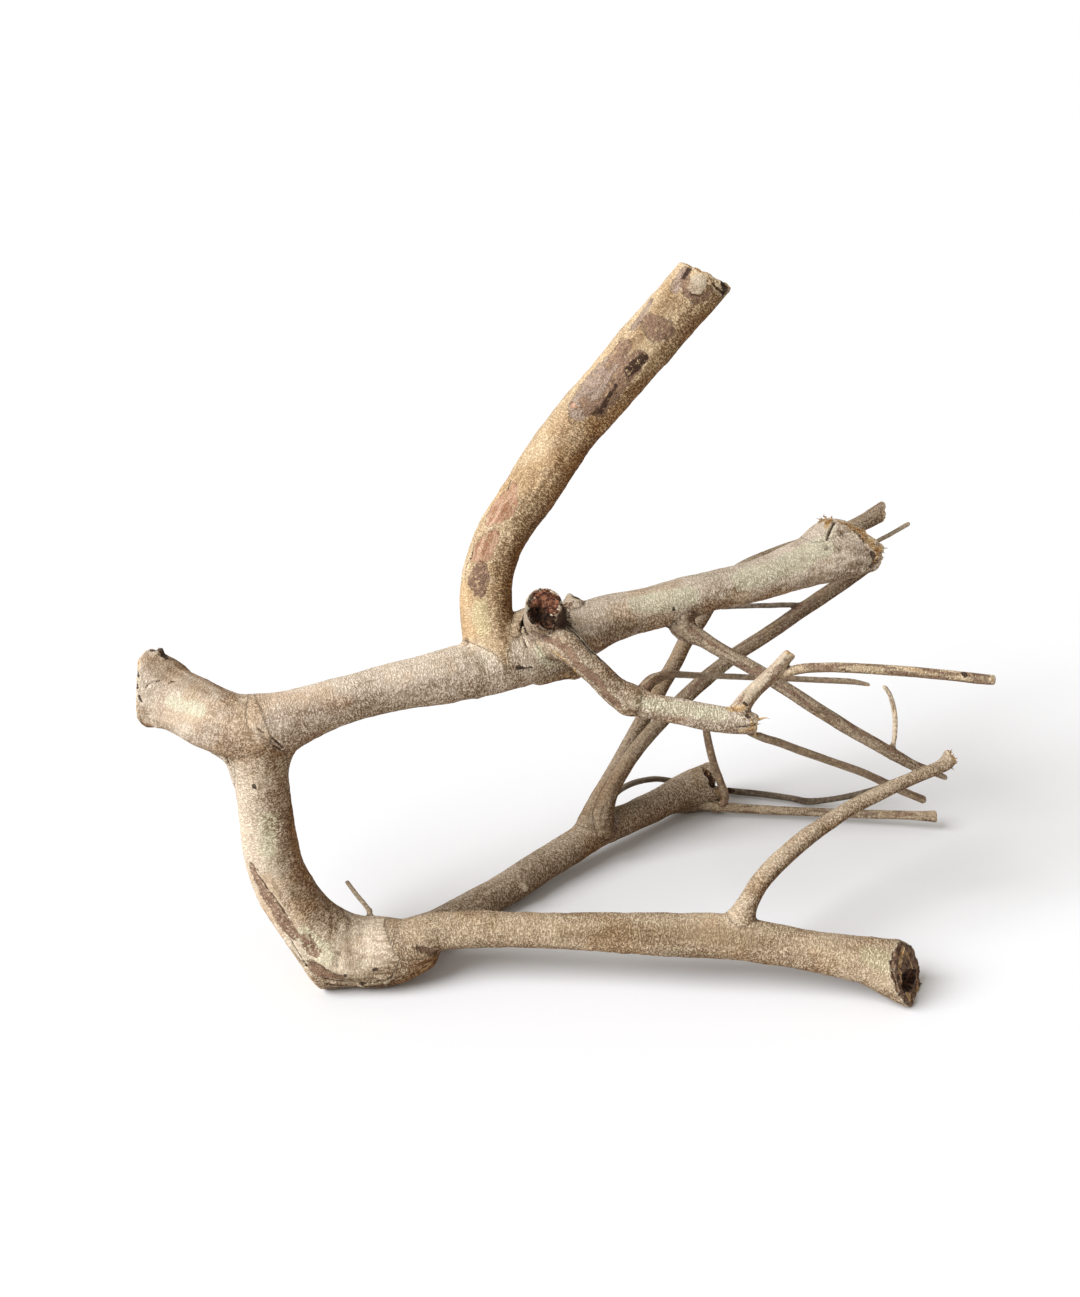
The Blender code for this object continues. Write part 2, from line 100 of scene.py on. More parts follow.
# -------------------------------------------------------------------- limbs
LIMBS = {
    # short end of the main stem, flared to its sawn face
    "stem_end": [(252, 730, -43, 62), (232, 725, -43, 64), (212, 718, -41, 64), (192, 707.5, -38, 63),
                 (172, 698, -34, 63), (160, 692, -31, 71), (148, 689, -29, 78),
                 (126, 683, -26, 84)],
    # main stem, from the fork down to the elbow that it rests on
    "stem": [(254, 727, -43, 62), (258.5, 750, -37, 58), (261, 775, -30, 54), (264, 800, -23, 53),
             (267, 825, -16.5, 54), (271.5, 850, -10, 55), (276, 868, -5, 55.5), (285, 889, 1, 58),
             (303.5, 919, 9, 64), (328, 942, 15, 72), (353, 950, 17, 71), (380, 951, 17, 68)],
    # webs in the two crotches of the fork
    "left_web": [(200, 736, -38, 14), (219, 745, -40, 22), (235, 756, -39, 24), (243, 778, -31, 22)],
    "right_web": [(320, 722, -36, 16), (299, 735, -38, 20), (286, 748, -37, 20), (277, 772, -30, 20)],
    # swollen heel under the elbow
    "heel": [(318, 960, 13, 54), (345, 957, 16, 60), (372, 957.5, 17, 61), (396, 956, 17, 55), (417, 951, 17, 44)],
    "heel_toe": [(300, 945, 10, 40), (318, 968, 13, 38), (336, 970, 15, 36)],
    # upper limb, from the fork to the splintered end at the right
    "upper_limb": [(250, 727, -43, 62), (275, 722.5, -41, 60), (300, 715, -38, 54), (325, 706, -35, 50),
                   (350, 698.5, -32, 47.5), (375, 691.5, -28, 47), (400, 685.5, -25, 49), (425, 680.5, -21, 51.5),
                   (450, 675.5, -17, 55.5), (478, 668.5, -12, 58), (505, 660, -7, 62), (530, 652, -2, 62),
                   (560, 640, 4, 58), (585, 629, 9, 54), (600, 622.5, 12, 50), (620, 616, 16, 46.5),
                   (640, 611, 20, 44), (660, 606, 24, 43.5), (690, 597, 31, 42), (715, 590, 37, 40),
                   (742, 584, 43, 41), (770, 576, 49, 43), (790, 568.5, 54, 46), (810, 561, 59, 50),
                   (830, 554, 63, 56), (850, 549, 68, 57), (876, 544, 73, 50)],
    "upper_limb_crest": [(808, 556, 57, 36), (828, 540, 61, 41), (845, 541, 66, 41), (862, 546, 69, 36)],
    # tall prong, rising from the upper limb
    "prong": [(497, 662, -10, 56), (490, 640, -10, 54), (486.5, 618, -10.5, 53), (485.5, 600, -11, 52),
              (487.5, 577, -12, 51.5), (494, 554, -13, 51), (503, 533, -14, 52), (514, 515, -15, 52),
              (529.5, 493, -16, 54), (552, 458, -18, 54.5), (581, 418.5, -20, 54), (610.5, 385, -22, 54),
              (641, 350, -24, 57), (670, 316, -26, 56), (696, 287, -28, 57), (722, 258, -30, 58)],
    "prong_web": [(500, 640, -10, 44), (519, 626, -9, 30), (534, 619, -8, 28)],
    # torn ledge under the upper limb
    "ledge": [(540, 665, 1, 40), (566, 664, 4, 31), (574, 669, 5, 22)],
    # lower limb along the front, from the elbow to the hollow end at the right
    "front_limb": [(380, 948, 16, 60), (405, 944, 15, 50), (425, 936, 14, 43), (440, 931.5, 14, 38.5),
                   (480, 929.5, 12, 37), (520, 930, 11, 36), (560, 931, 10, 36.5), (600, 932, 9, 39),
                   (640, 933.5, 8, 43.5), (680, 935, 7, 44.5), (720, 936, 6, 45), (760, 941.5, 5, 42),
                   (800, 948.5, 4, 40), (830, 954, 3.5, 41.5), (850, 957.5, 3, 43.5), (870, 961, 3, 48),
                   (890, 967, 2.5, 56), (912, 973, 2, 65), (938, 980, 1, 68)],
    # lower limb running back from the elbow
    "back_limb": [(395, 943, 26, 38), (440, 925, 49, 35), (480, 903.5, 68, 33.5), (510, 886.5, 82, 33.5),
                  (550, 861, 101, 32.5), (597, 832, 123, 32), (640, 813, 144, 30), (665, 800.5, 155, 31),
                  (685, 790.5, 165, 35), (712, 784, 175, 43)],
    # lobe under its tip, which it rests on
    "back_knuckle": [(655, 806, 155, 20), (676, 801.5, 165, 22.5), (697, 801.5, 175, 23), (718, 804, 174, 17)],
    # thinner limb that climbs from the front limb
    "side_limb": [(738, 925, 5, 34), (745, 908, 6, 24), (752, 895, 7, 20.5), (760, 882, 9, 20), (779, 861, 14, 19.5),
                  (807, 837, 21, 18), (836, 817, 28, 16.5), (856, 805, 33, 15.5), (886, 790, 40, 14.5),
                  (912, 778.5, 46, 13), (935, 769, 51, 13), (946, 763, 54, 15), (952, 754.5, 55.5, 17)],
    # bent limb in front of the upper limb, with its broken stub
    "knee": [(548, 640, -6, 44), (556, 640, -14, 40), (567, 646, -21, 33), (582, 659.5, -24, 28.5),
             (597.5, 673.5, -25, 27.5), (613, 689, -23, 28), (630, 700, -20, 32)],
    "knee_stub": [(547, 642, 0, 44), (545, 622, -14, 41), (543.5, 605, -30, 37.5)],
    "finger": [(628, 698, -20, 30), (650, 706, -19, 26.5), (680, 711.5, -17, 27), (700, 716, -16, 27),
               (720, 719.5, -15, 26.5), (740, 722, -14, 24), (757, 723, -13, 19)],
    "finger_spur": [(738, 714, -14, 22), (744, 703, -13.5, 18), (754, 691, -12, 16.5), (768, 678, -11, 16),
                    (778, 667.5, -10, 14.5), (785, 659, -9, 13), (792, 652, -8.5, 12)],
    # the two forked limbs that rise from the back limb
    "left_fork": [(588, 829, 118, 28), (592, 813, 121, 21), (599, 798, 123, 18), (611, 777, 125, 16.5),
                  (626, 750, 125, 16), (640.5, 724, 124, 15.5), (651.5, 705, 122, 15.5), (663.5, 682.5, 119, 15.5),
                  (676, 660.5, 116, 15.5), (685.5, 641.5, 112, 15.5), (700, 620, 107, 15.5), (710, 603, 103, 15.5),
                  (724, 583, 98, 15.5), (745, 568, 94, 15.5), (770, 557, 94, 15.5), (790, 549.5, 95, 15.5),
                  (820, 539.5, 98, 15.5), (848, 529.5, 101, 16), (865, 521.5, 103, 16.5), (876, 515, 104, 18), (885, 510, 105, 20)],
    "right_fork": [(600, 828, 118, 30), (604.5, 809, 117, 21), (611, 791, 116, 16.5), (622, 771, 115, 15.5),
                   (635, 751.5, 114, 15), (652, 731, 112, 15), (671, 711, 110, 15.5), (692.5, 690.5, 108, 15.5),
                   (714, 672, 106, 15.5), (736, 654.5, 105, 15), (760, 639, 104, 15), (780, 625.5, 103, 15),
                   (800, 611.5, 103, 15), (830, 591.5, 103, 15), (855, 574, 103, 15), (874, 559.5, 103, 15)],
    # thin limb hanging from a knot under the upper limb
    "slant": [(678, 612, 27, 34), (685, 629, 26, 25), (703, 639.5, 24, 16.5), (720, 650, 24, 15),
              (757, 670.5, 25, 14.5), (790, 691.5, 27, 14), (820, 711, 30, 14), (850, 729.5, 34, 13.5),
              (870, 741, 38, 13), (892, 753.5, 44, 12.5), (912, 764.5, 50, 10.5), (930, 771, 56, 8),
              (945, 777.5, 61, 6)],
}

# -------------------------------------------------------------------- twigs
TWIGS = {
    "long_twig": [(774, 676, -10, 10), (800, 669, -8, 10.5), (822, 667.5, -6, 10), (850, 668, -4, 10.5),
                  (900, 671, 0, 11), (950, 675.5, 4, 11), (980, 679, 6, 11), (994, 680, 7, 10)],
    "hook": [(638, 697, -18, 15), (650, 682, -11, 13), (660, 677, -4, 11), (669, 674, 4, 10), (680, 674.5, 14, 7.5),
             (700, 675.5, 28, 7), (730, 676.5, 42, 6.5), (755, 677.5, 50, 6.5), (785, 678.5, 57, 6.5),
             (820, 680, 62, 6.5), (850, 681.5, 65, 6.5), (868, 684.5, 67, 4.5)],
    "shoot": [(891, 756, 44, 5), (894.5, 736, 43, 5.5), (895, 718, 42, 5.5), (892.5, 703, 40, 5.5), (888.5, 692, 39, 5),
              (884.5, 687, 38, 5)],
    "low_twig": [(742, 727, -13, 9), (760, 736.5, -6, 8.5), (780, 743, 3, 8.5), (800, 750.5, 12, 8.5), (830, 761, 26, 8.5),
                 (860, 771.5, 41, 8.5), (880, 780.5, 52, 8.5), (900, 790, 61, 8.5), (924, 800, 71, 8.5)],
    "stray": [(806, 606.5, 103, 7.5), (790, 605, 100, 6), (770, 605.5, 97, 6), (750, 606, 95, 5.5),
              (722, 607.5, 92, 5)],
    "wisp": [(840, 586, 103.5, 6), (860, 554, 110, 5.5), (876, 542, 114, 5), (890, 534.5, 116, 5),
             (908, 524, 118, 5)],
    "ground_twig": [(690, 798, 168, 15), (708, 804, 167, 14), (725, 807, 166, 10), (760, 809.5, 164, 9.5),
                    (800, 811.5, 161, 9), (850, 813.5, 157, 9), (900, 815, 153, 9), (924, 816, 151, 10),
                    (938, 816.5, 150, 13)],
    "arc_twig": [(603, 815, 122, 8), (612, 799, 130, 7), (620, 790, 142, 6.5), (635, 782.5, 160, 6.5),
                 (655, 779, 176, 6.5), (672, 781, 185, 6.5), (690, 784.5, 189, 6.5), (710, 788, 190, 6.5),
                 (727, 790.5, 189, 7), (760, 794, 184, 7), (790, 798, 179, 7), (808, 801.5, 176, 7.5),
                 (830, 799.5, 172, 6.5), (850, 796, 168, 6.5), (870, 791, 165, 6.5), (884, 786, 163, 6)],
    "riser": [(716, 809, 167, 9), (725, 798, 163, 9), (720, 781, 158, 8.5), (713.5, 763, 154, 8.5),
              (708.5, 743, 152, 8.5), (706, 729, 151, 8), (704, 716, 150, 7)],
    "elbow_shoot": [(371, 930, 20, 6.5), (369.5, 913, 19, 5.5), (366, 906, 18, 5.5), (356, 894, 17, 5.5),
                    (346.5, 881, 16, 5)],
    "top_knot": [(570, 620, 7, 30), (572.5, 607, 5, 23), (575.5, 598.5, 4, 15)],
}

# ------------------------------------------------- faces, hollows and cracks
# Faces: (kind, station in the plane, way it looks as (right, up, towards the
# eye), raggedness and its grain in millimetres, reach, seed)
FACES = [
    ("sawn", (141, 688, -29, 0), (-1.0, 0.03, 0.08), 0.30, 2.6, 40, 3),
    ("bark", (144.5, 654, -29, 0), (-0.76, 0.65, 0.05), 0.35, 4.0, 16, 2),
    ("bark", (142.5, 722, -29, 0), (-0.80, -0.60, 0.05), 0.35, 4.0, 12, 4),
    ("core", (545, 600, -35, 0), (0.10, 0.60, 0.78), 1.5, 3.6, 14, 6),
    ("bark", (729, 285, -29, 0), (0.86, 0.50, 0.10), 0.9, 3.0, 10, 8),
    ("torn", (706, 275.0, -29, 0), (0.43, 0.88, 0.16), 1.1, 6.0, 34, 5),
    ("peeled", (907, 974, 0, 0), (0.85, 0.12, 0.51), 0.8, 3.2, 34, 7),
    ("bark", (906, 943, 6, 0), (0.62, 0.78, 0.10), 0.5, 3.0, 8, 43),
    ("split", (285, 938, 8, 0), (-0.83, -0.55, 0.05), 0.22, 5.0, 46, 9),
    ("torn", (874.5, 556, 73, 0), (0.97, 0.02, -0.20), 1.9, 3.0, 24, 11),
    ("torn", (862, 537, 72, 0), (0.56, 0.82, -0.06), 1.0, 2.6, 27, 13),
    ("torn", (719, 786, 176, 0), (0.86, 0.42, 0.22), 0.8, 2.6, 15, 15),
    ("torn", (757.5, 724, -13, 0), (0.98, -0.10, 0.10), 1.2, 2.2, 8, 17),
    ("torn", (954, 757, 56, 0), (0.75, 0.60, 0.25), 0.9, 2.0, 8, 19),
    ("torn", (886, 511, 104, 0), (0.85, -0.10, 0.25), 0.5, 2.0, 9, 21),
    ("torn", (876, 561, 103, 0), (0.93, 0.10, 0.10), 0.6, 2.0, 8, 23),
    ("torn", (937, 817, 150, 0), (0.95, 0.10, 0.20), 0.4, 1.6, 7, 25),
    ("torn", (791, 652.5, -8.5, 0), (0.60, 0.78, 0.10), 0.5, 1.6, 6, 27),
]
# Hollows: (kind, station in the mouth, way it opens, width in sketch units,
# depth, raggedness, grain, narrowness, reach, seed)
HOLLOWS = [
    ("hollow", (914, 980, 1, 0), (0.85, 0.12, 0.51), 42, 8.0, 1.0, 3.0, 0.44, 24, 31),
    ("core", (548, 604, -35, 0), (0.05, 0.45, 0.88), 27, 3.6, 1.3, 2.6, 1.0, 15, 33),
    ("hollow", (538, 611, -35, 0), (-0.05, 0.35, 0.93), 19, 9.0, 1.2, 2.6, 1.2, 15, 34),
    ("hollow", (548, 622, -33, 0), (0.05, 0.30, 0.95), 20, 6.0, 1.2, 2.6, 0.6, 15, 36),
    ("hollow", (712, 778, 173, 0), (0.62, 0.66, 0.42), 26, 7.0, 0.8, 2.6, 1.0, 14, 35),
    ("hollow", (875, 556, 76, 0), (0.92, 0.20, -0.34), 24, 6.0, 1.0, 2.8, 1.0, 15, 37),
    ("hollow", (887, 511, 105, 0), (0.85, -0.10, 0.35), 14, 2.6, 0.4, 1.8, 1.0, 8, 39),
    ("hollow", (877, 561, 103, 0), (0.93, 0.10, 0.15), 10, 2.2, 0.3, 1.6, 1.0, 7, 41),
]

# How dark and grey the bark of a limb is, and the way its painted-light side looks.
DUSK = {"left_fork": 0.92, "right_fork": 0.98, "slant": 0.72, "back_limb": 0.50, "knee": 0.50, "finger": 0.0,
        "finger_spur": 0.45, "long_twig": 0.12, "hook": 0.9, "low_twig": 0.7, "ground_twig": 0.6, "arc_twig": 1.0,
        "riser": 0.15, "stray": 1.0, "wisp": 0.9, "side_limb": 0.28, "stem_end": 0.16, "prong": 0.14, "knee_stub": 0.45,
        "front_limb": 0.34, "back_knuckle": 0.3, "heel": 0.22, "heel_toe": 0.25, "upper_limb": 0.02, "ledge": 0.3}
# How warm its colour is.
WARM = {"prong": 0.90, "prong_web": 0.6, "front_limb": 0.55, "stem": 0.30, "side_limb": 0.45, "long_twig": 0.7,
        "finger_spur": 0.3, "low_twig": 0.6, "heel": 0.4, "elbow_shoot": 0.5, "shoot": 0.5, "slant": 0.3,
        "ledge": 0.5, "back_limb": 0.25, "knee": 0.25, "hook": 0.5, "riser": 1.0, "ground_twig": 0.5, "arc_twig": 0.6}
# How much paler or browner than usual its painted light and shade are.
PALER = {"upper_limb": 0.10, "front_limb": 0.06, "slant": 0.06, "stem": 0.03, "stem_end": -0.09, "heel": -0.04,
         "heel_toe": -0.04, "knee": -0.06, "knee_stub": -0.05, "back_limb": 0.04, "finger": 0.03}
# How strongly its bark is grained.
GRIT = {"front_limb": 1.5, "back_limb": 1.5, "heel": 1.45, "heel_toe": 1.45, "prong": 1.2, "prong_web": 1.3, "knee": 1.3,
        "knee_stub": 1.3, "finger": 1.3, "side_limb": 1.4, "left_fork": 1.25, "right_fork": 1.25, "slant": 1.2,
        "ledge": 1.6, "stem": 1.05, "stem_end": 0.9, "upper_limb": 1.15}
# Twigs and limbs that are mostly peeled to brown, from 0 to 1.
PEELED = {"riser": 1.0, "arc_twig": 0.8, "slant": 0.35, "hook": 0.5, "long_twig": 0.45, "low_twig": 0.55,
          "finger_spur": 0.25, "stray": 0.8, "wisp": 0.5, "left_fork": 0.12, "right_fork": 0.2, "ground_twig": 0.3}
# The way the painted light comes from: bark facing it is painted pale cream, bark facing away painted ochre shade.
PAINTED_LIGHT_WAY = (-0.75, -0.40, 0.62)

# ---------------------------------------------------------- marks on the bark
# Marks as the eye sees them: rows of (across, down, width) in sketch units.
MARKS = [
    # worn through to the smooth brown layer, with ragged edges
    ("brown", [(648, 322, 16), (656, 329, 25), (664, 331, 20)]),
    ("worn", [(616, 359, 22), (606, 373, 30), (591, 394, 32), (579, 409, 22)]),
    ("brown", [(624, 346, 17), (616, 357, 15), (608, 364, 8)]),
    ("brown", [(583, 402, 8), (590, 410, 12), (600, 406, 10)]),
    ("brown", [(640, 357, 14), (632, 366, 20), (622, 378, 18), (610, 396, 16), (600, 410, 14)]),
    ("worn", [(649, 302, 8), (641, 318, 9), (634, 326, 8)]),
    ("worn", [(683, 272, 12), (676, 286, 12)]),
    ("brown", [(688, 268, 7), (685, 279, 9), (687, 291, 10), (696, 299, 9), (706, 297, 7), (712, 289, 5)]),
    ("scar", [(699, 280, 15), (697, 286, 17)]),
    ("grey", [(640, 335, 16), (665, 300, 18), (680, 280, 14)]),
    ("grey", [(600, 385, 16), (570, 420, 12)]),
    ("brown", [(480, 571, 16), (478, 582, 22), (481, 589, 14)]),
    ("brown", [(252, 866, 8), (260, 884, 12), (270, 902, 14), (281, 919, 15), (293, 935, 12)]),
    ("brown", [(306, 940, 12), (313, 951, 14)]),
    ("brown", [(313, 965, 12), (321, 972, 12), (331, 976, 9), (342, 978, 6)]),
    ("brown", [(545, 638, 6), (558, 644, 8), (569, 652, 9), (580, 667, 9), (595, 679, 9), (607, 695, 9), (618, 704, 8)]),
    ("worn", [(536, 634, 6), (543, 638, 7)]),
    ("peeled", [(897, 955, 8), (896, 966, 10), (898, 980, 10), (903, 993, 9), (907, 1001, 6)]),
    ("torn", [(905, 950, 7), (903, 960, 8), (901, 968, 6), (904, 977, 8), (906, 986, 7), (911, 997, 8)]),
    ("torn", [(909, 953, 3), (914, 965, 3), (919, 980, 3), (920, 992, 4)]),
    ("brown", [(418, 949, 6), (428, 951, 8), (438, 951, 5)]),
    # peeled to pink wood
    ("peach", [(512, 488, 12), (506, 503, 26), (496, 513, 24), (490, 521, 12)]),
    ("peach", [(492, 538, 16), (484, 549, 24), (476, 556, 16)]),
    ("peach", [(573, 405, 7), (575, 407, 6)]),
    # soft brown-mauve tint
    ("tint", [(262, 722, 14), (290, 716, 22), (330, 709, 24), (380, 697, 22), (430, 686, 20), (462, 680, 14)]),
    ("tint", [(200, 724, 12), (222, 738, 18), (240, 748, 18)]),
    ("tint", [(150, 668, 14), (165, 690, 20), (160, 712, 18)]),
    ("tint", [(600, 640, 8), (640, 628, 8)]),
    ("tint", [(672, 296, 14), (640, 330, 20), (596, 386, 26), (556, 444, 16)]),
    ("tint", [(840, 545, 12), (862, 552, 14), (874, 556, 10)]),
    ("tint", [(655, 715, 10), (700, 722, 12), (740, 728, 10)]),
    # pale lichen-like bloom
    ("pale", [(636, 604, 18), (660, 602, 24), (690, 596, 22)]),
    ("pale", [(742, 580, 22), (772, 571, 24), (800, 558, 26), (825, 545, 24)]),
    ("pale", [(302, 935, 18), (318, 948, 22), (326, 958, 16)]),
    ("pale", [(538, 648, 10), (545, 660, 12), (552, 664, 10)]),
    ("pale", [(640, 702, 12), (670, 707, 16), (720, 713, 16)]),
    ("pale", [(870, 955, 20), (885, 962, 22)]),
    ("pale", [(170, 702, 12), (200, 710, 14)]),
    ("pale", [(480, 606, 14), (481, 622, 18), (482, 630, 14)]),
    ("pale", [(268, 820, 18), (268, 850, 18)]),
    # dark marks
    ("core", [(537, 595, 8), (543, 594, 12), (552, 601, 14), (553, 608, 12)]),
    ("core", [(536, 603, 8), (546, 600, 12)]),
    ("choc", [(644, 356, 9), (638, 363, 13), (630, 371, 10)]),
    ("choc", [(617, 385, 3), (612, 393, 5), (606, 402, 6), (600, 410, 7), (594, 415, 4)]),
    # painted shade: the dark opening between the back limb's tip and the riser
    ("hollow", [(702, 767.5, 3), (706, 772, 7), (709.5, 778, 8), (713, 786, 6)]),
    # dark broken bark, and painted shade in the crevice between the knee and the upper limb
    ("choc", [(560, 601, 9), (565, 611, 15), (571, 621, 16), (577, 631, 10)]),
    ("choc", [(556, 618, 10), (566, 626, 12), (580, 640, 7), (592, 652, 6)]),
    ("choc", [(584, 640, 5), (592, 648, 5), (600, 660, 3)]),
    ("choc", [(689, 268, 5), (684, 276, 5)]),
    ("choc", [(541, 589, 5), (532, 595, 6), (528, 607, 6), (531, 620, 6), (541, 629, 6), (553, 628, 7)]),
    # darker, greyer bark
    ("grey", [(560, 935, 12), (640, 934, 22), (720, 936, 24), (770, 944, 16)]),
    ("grey", [(600, 385, 10), (640, 340, 14), (676, 300, 18)]),
    ("grey", [(580, 640, 14), (610, 632, 18), (650, 622, 8)]),
    ("grey", [(345, 940, 14), (352, 965, 16)]),
    ("grey", [(155, 665, 22), (178, 680, 22), (205, 692, 14)]),
    ("choc", [(326, 984, 3), (345, 987, 3.5), (368, 988, 3.5), (390, 985, 3)]),
    ("grey", [(330, 978, 16), (360, 978, 20), (392, 970, 18)]),
    ("grey", [(470, 652, 16), (480, 668, 14)]),
    ("dark", [(722, 283, 5), (726, 290, 7), (725, 297, 5)]),
    ("dark", [(154, 651, 7), (161, 653, 8), (165, 658, 7)]),
    ("dark", [(571, 671, 4), (571, 672, 4)]),
    ("dark", [(576, 592, 5), (579, 596, 5)]),
    ("dark", [(345, 975, 4), (346, 975, 4)]),
    ("dark", [(374, 970, 4), (376, 970, 4)]),
    ("dark", [(362, 984, 4), (364, 984, 4)]),
    ("dark", [(518, 668, 4), (522, 668, 3), (532, 668, 2)]),
    ("dark", [(254, 784, 4), (255, 787, 4)]),
    ("dark", [(745, 703, 3.5), (746, 704, 3.5)]),
    ("dark", [(748, 716, 4), (749, 717, 4)]),
    ("dark", [(964, 674, 5), (965, 675, 5)]),
    ("dark", [(674, 609, 5), (674.5, 609, 5)]),
    ("dark", [(137.5, 672, 2), (138, 676, 2)]),
    ("dark", [(137.5, 684, 2), (137.5, 688, 2)]),
    ("dark", [(139, 696, 2), (141, 701, 3)]),
    # raw torn wood
    ("torn", [(566, 676, 5), (574, 672, 5)]),
    ("torn", [(729, 709, 7), (738, 709, 7), (745, 707, 5)]),
    ("torn", [(740, 731, 4), (750, 730, 5), (757, 727, 5)]),
    ("torn", [(817, 521, 5), (823, 519, 7), (830, 520, 7), (826, 527, 5)]),
    ("torn", [(838, 522, 4), (847, 525, 5), (856, 529, 6), (864, 535, 6), (871, 544, 7)]),
    ("torn", [(876, 549, 6), (884, 549, 6)]),
    ("choc", [(851, 529, 3), (859, 535, 4), (866, 542, 4)]),
    ("choc", [(873, 553, 5), (876, 562, 8), (872, 568, 6)]),
    ("choc", [(868, 575, 6), (858, 580, 5)]),
    ("torn", [(785, 652, 5), (791, 654, 5)]),
    ("torn", [(551, 650, 2), (560, 656, 2.4), (571, 664, 2)]),
]
# Grooves: rows of (across, down, width), and their depth in millimetres.
CRACKS = [
    ([(145, 687, 1.4), (149, 684, 1.8), (153, 682, 1.3)], 0.6),
    ([(155, 681.5, 1.3), (163, 679.5, 1.3)], 0.5),
    ([(168, 683, 1.2), (171, 681.5, 1.8), (175, 681, 1.2)], 0.6),
    ([(258, 728, 1.5), (263, 733, 1.5)], 0.7),
    ([(225, 759, 1.6), (229, 766, 1.8)], 0.8),
    ([(272, 738, 1.4), (278, 743, 2.0), (284, 749, 1.8)], 0.9),
    ([(275, 746, 1.3), (281, 750, 1.7)], 0.7),
    ([(835, 521, 2.6), (831.5, 529, 2.2), (827, 540, 1.2)], 2.0),
    ([(522, 612, 2.0), (521, 622, 2.4), (521, 631, 2.0), (527, 647, 1.2)], 1.0),
    ([(510, 480, 1.4), (507, 490, 1.6)], 0.6),
    ([(475, 540, 1.4), (471, 556, 1.6), (466, 566, 1.4), (464, 582, 1.4)], 0.6),
    ([(690, 290, 1.2), (693, 295, 1.8), (699, 297, 1.4)], 0.5),
    ([(713, 284, 1.6), (718, 289, 2.4), (724, 293, 2.8), (728, 297, 2.8)], 1.3),
    ([(716, 279, 1.6), (722, 284, 2.0), (729, 289, 2.0)], 0.9),
    ([(325, 979, 1.2), (345, 982, 1.6), (368, 983, 1.6), (392, 978, 1.4)], 0.8),
    ([(290, 940, 1.4), (298, 953, 1.8), (306, 966, 1.6)], 0.7),
    ([(908, 761, 1.2), (916, 766, 1.4)], 0.5),
    ([(906, 953, 2.0), (908, 947, 2.0)], 0.9),
    ([(893, 953, 1.4), (890, 962, 1.6), (891, 972, 1.8), (895, 984, 1.6), (900, 998, 1.4)], 0.9),
    ([(738, 727, 1.6), (745, 727.5, 2.0), (756, 724, 1.8)], 0.9),
    ([(568, 628, 2.6), (576, 634, 3.0), (584, 643, 2.6), (594, 654, 1.8)], 1.5),
    ([(251, 864, 1.3), (262, 881, 1.5), (275, 899, 1.5), (288, 917, 1.4)], 0.6),
]
# Soft folds of the bark, as grooves without an edge.
FOLDS = [
    ([(339, 925, 5), (341, 945, 6), (338, 965, 5)], 0.75),
    ([(330, 905, 4), (334, 925, 4), (333, 950, 4)], 0.5),
    ([(348, 905, 4), (352, 925, 4), (351, 955, 4)], 0.5),
    ([(466, 640, 5), (467, 655, 6), (470, 670, 5)], 0.6),
    ([(476, 662, 4), (490, 672, 5), (508, 672, 4)], 0.4),
    ([(455, 640, 4), (458, 660, 5), (462, 676, 4)], 0.3),
    ([(418, 947, 4), (428, 951, 5), (438, 954, 4)], 0.6),
    ([(240, 700, 5), (252, 705, 6), (266, 703, 5)], 0.4),
    ([(475, 529, 4), (492, 534, 4), (508, 531, 4)], 0.35),
    ([(500, 470, 4), (520, 474, 4), (536, 478, 4)], 0.25),
    ([(545, 430, 4), (560, 436, 4), (573, 444, 4)], 0.25),
    ([(730, 905, 4), (742, 912, 5), (756, 908, 4)], 0.4),
    ([(715, 918, 4), (730, 922, 5), (745, 925, 4)], 0.3),
    ([(585, 812, 3), (596, 816, 4), (610, 812, 3)], 0.4),
    ([(660, 618, 4), (676, 624, 5), (690, 622, 4)], 0.4),
    ([(620, 690, 3), (628, 700, 4), (630, 712, 3)], 0.5),
    ([(828, 548, 5), (850, 551, 7), (872, 555, 6)], 1.3),
    ([(840, 566, 5), (860, 567, 7), (876, 567, 6)], 1.1),
    ([(842, 533, 4), (856, 540, 5), (870, 549, 4)], 1.0),
    ([(805, 560, 4), (830, 562, 6), (850, 559, 4)], 0.7),
    ([(826, 531, 4), (838, 545, 5), (846, 560, 4)], 0.6),
    ([(320, 890, 5), (345, 905, 6), (365, 925, 5)], 0.4),
    ([(362, 935, 4), (366, 950, 5), (360, 968, 4)], 0.4),
    ([(600, 905, 4), (612, 912, 5), (630, 910, 4)], 0.3),
    ([(520, 640, 4), (530, 655, 5), (548, 668, 5)], 0.4),
    ([(150, 668, 4), (165, 676, 5), (185, 690, 4)], 0.35),
    ([(232, 706, 5), (245, 720, 6), (256, 742, 5)], 0.35),
    ([(470, 500, 4), (486, 508, 4), (492, 520, 4)], 0.25),
    ([(630, 345, 5), (645, 352, 5), (655, 362, 4)], 0.3),
]
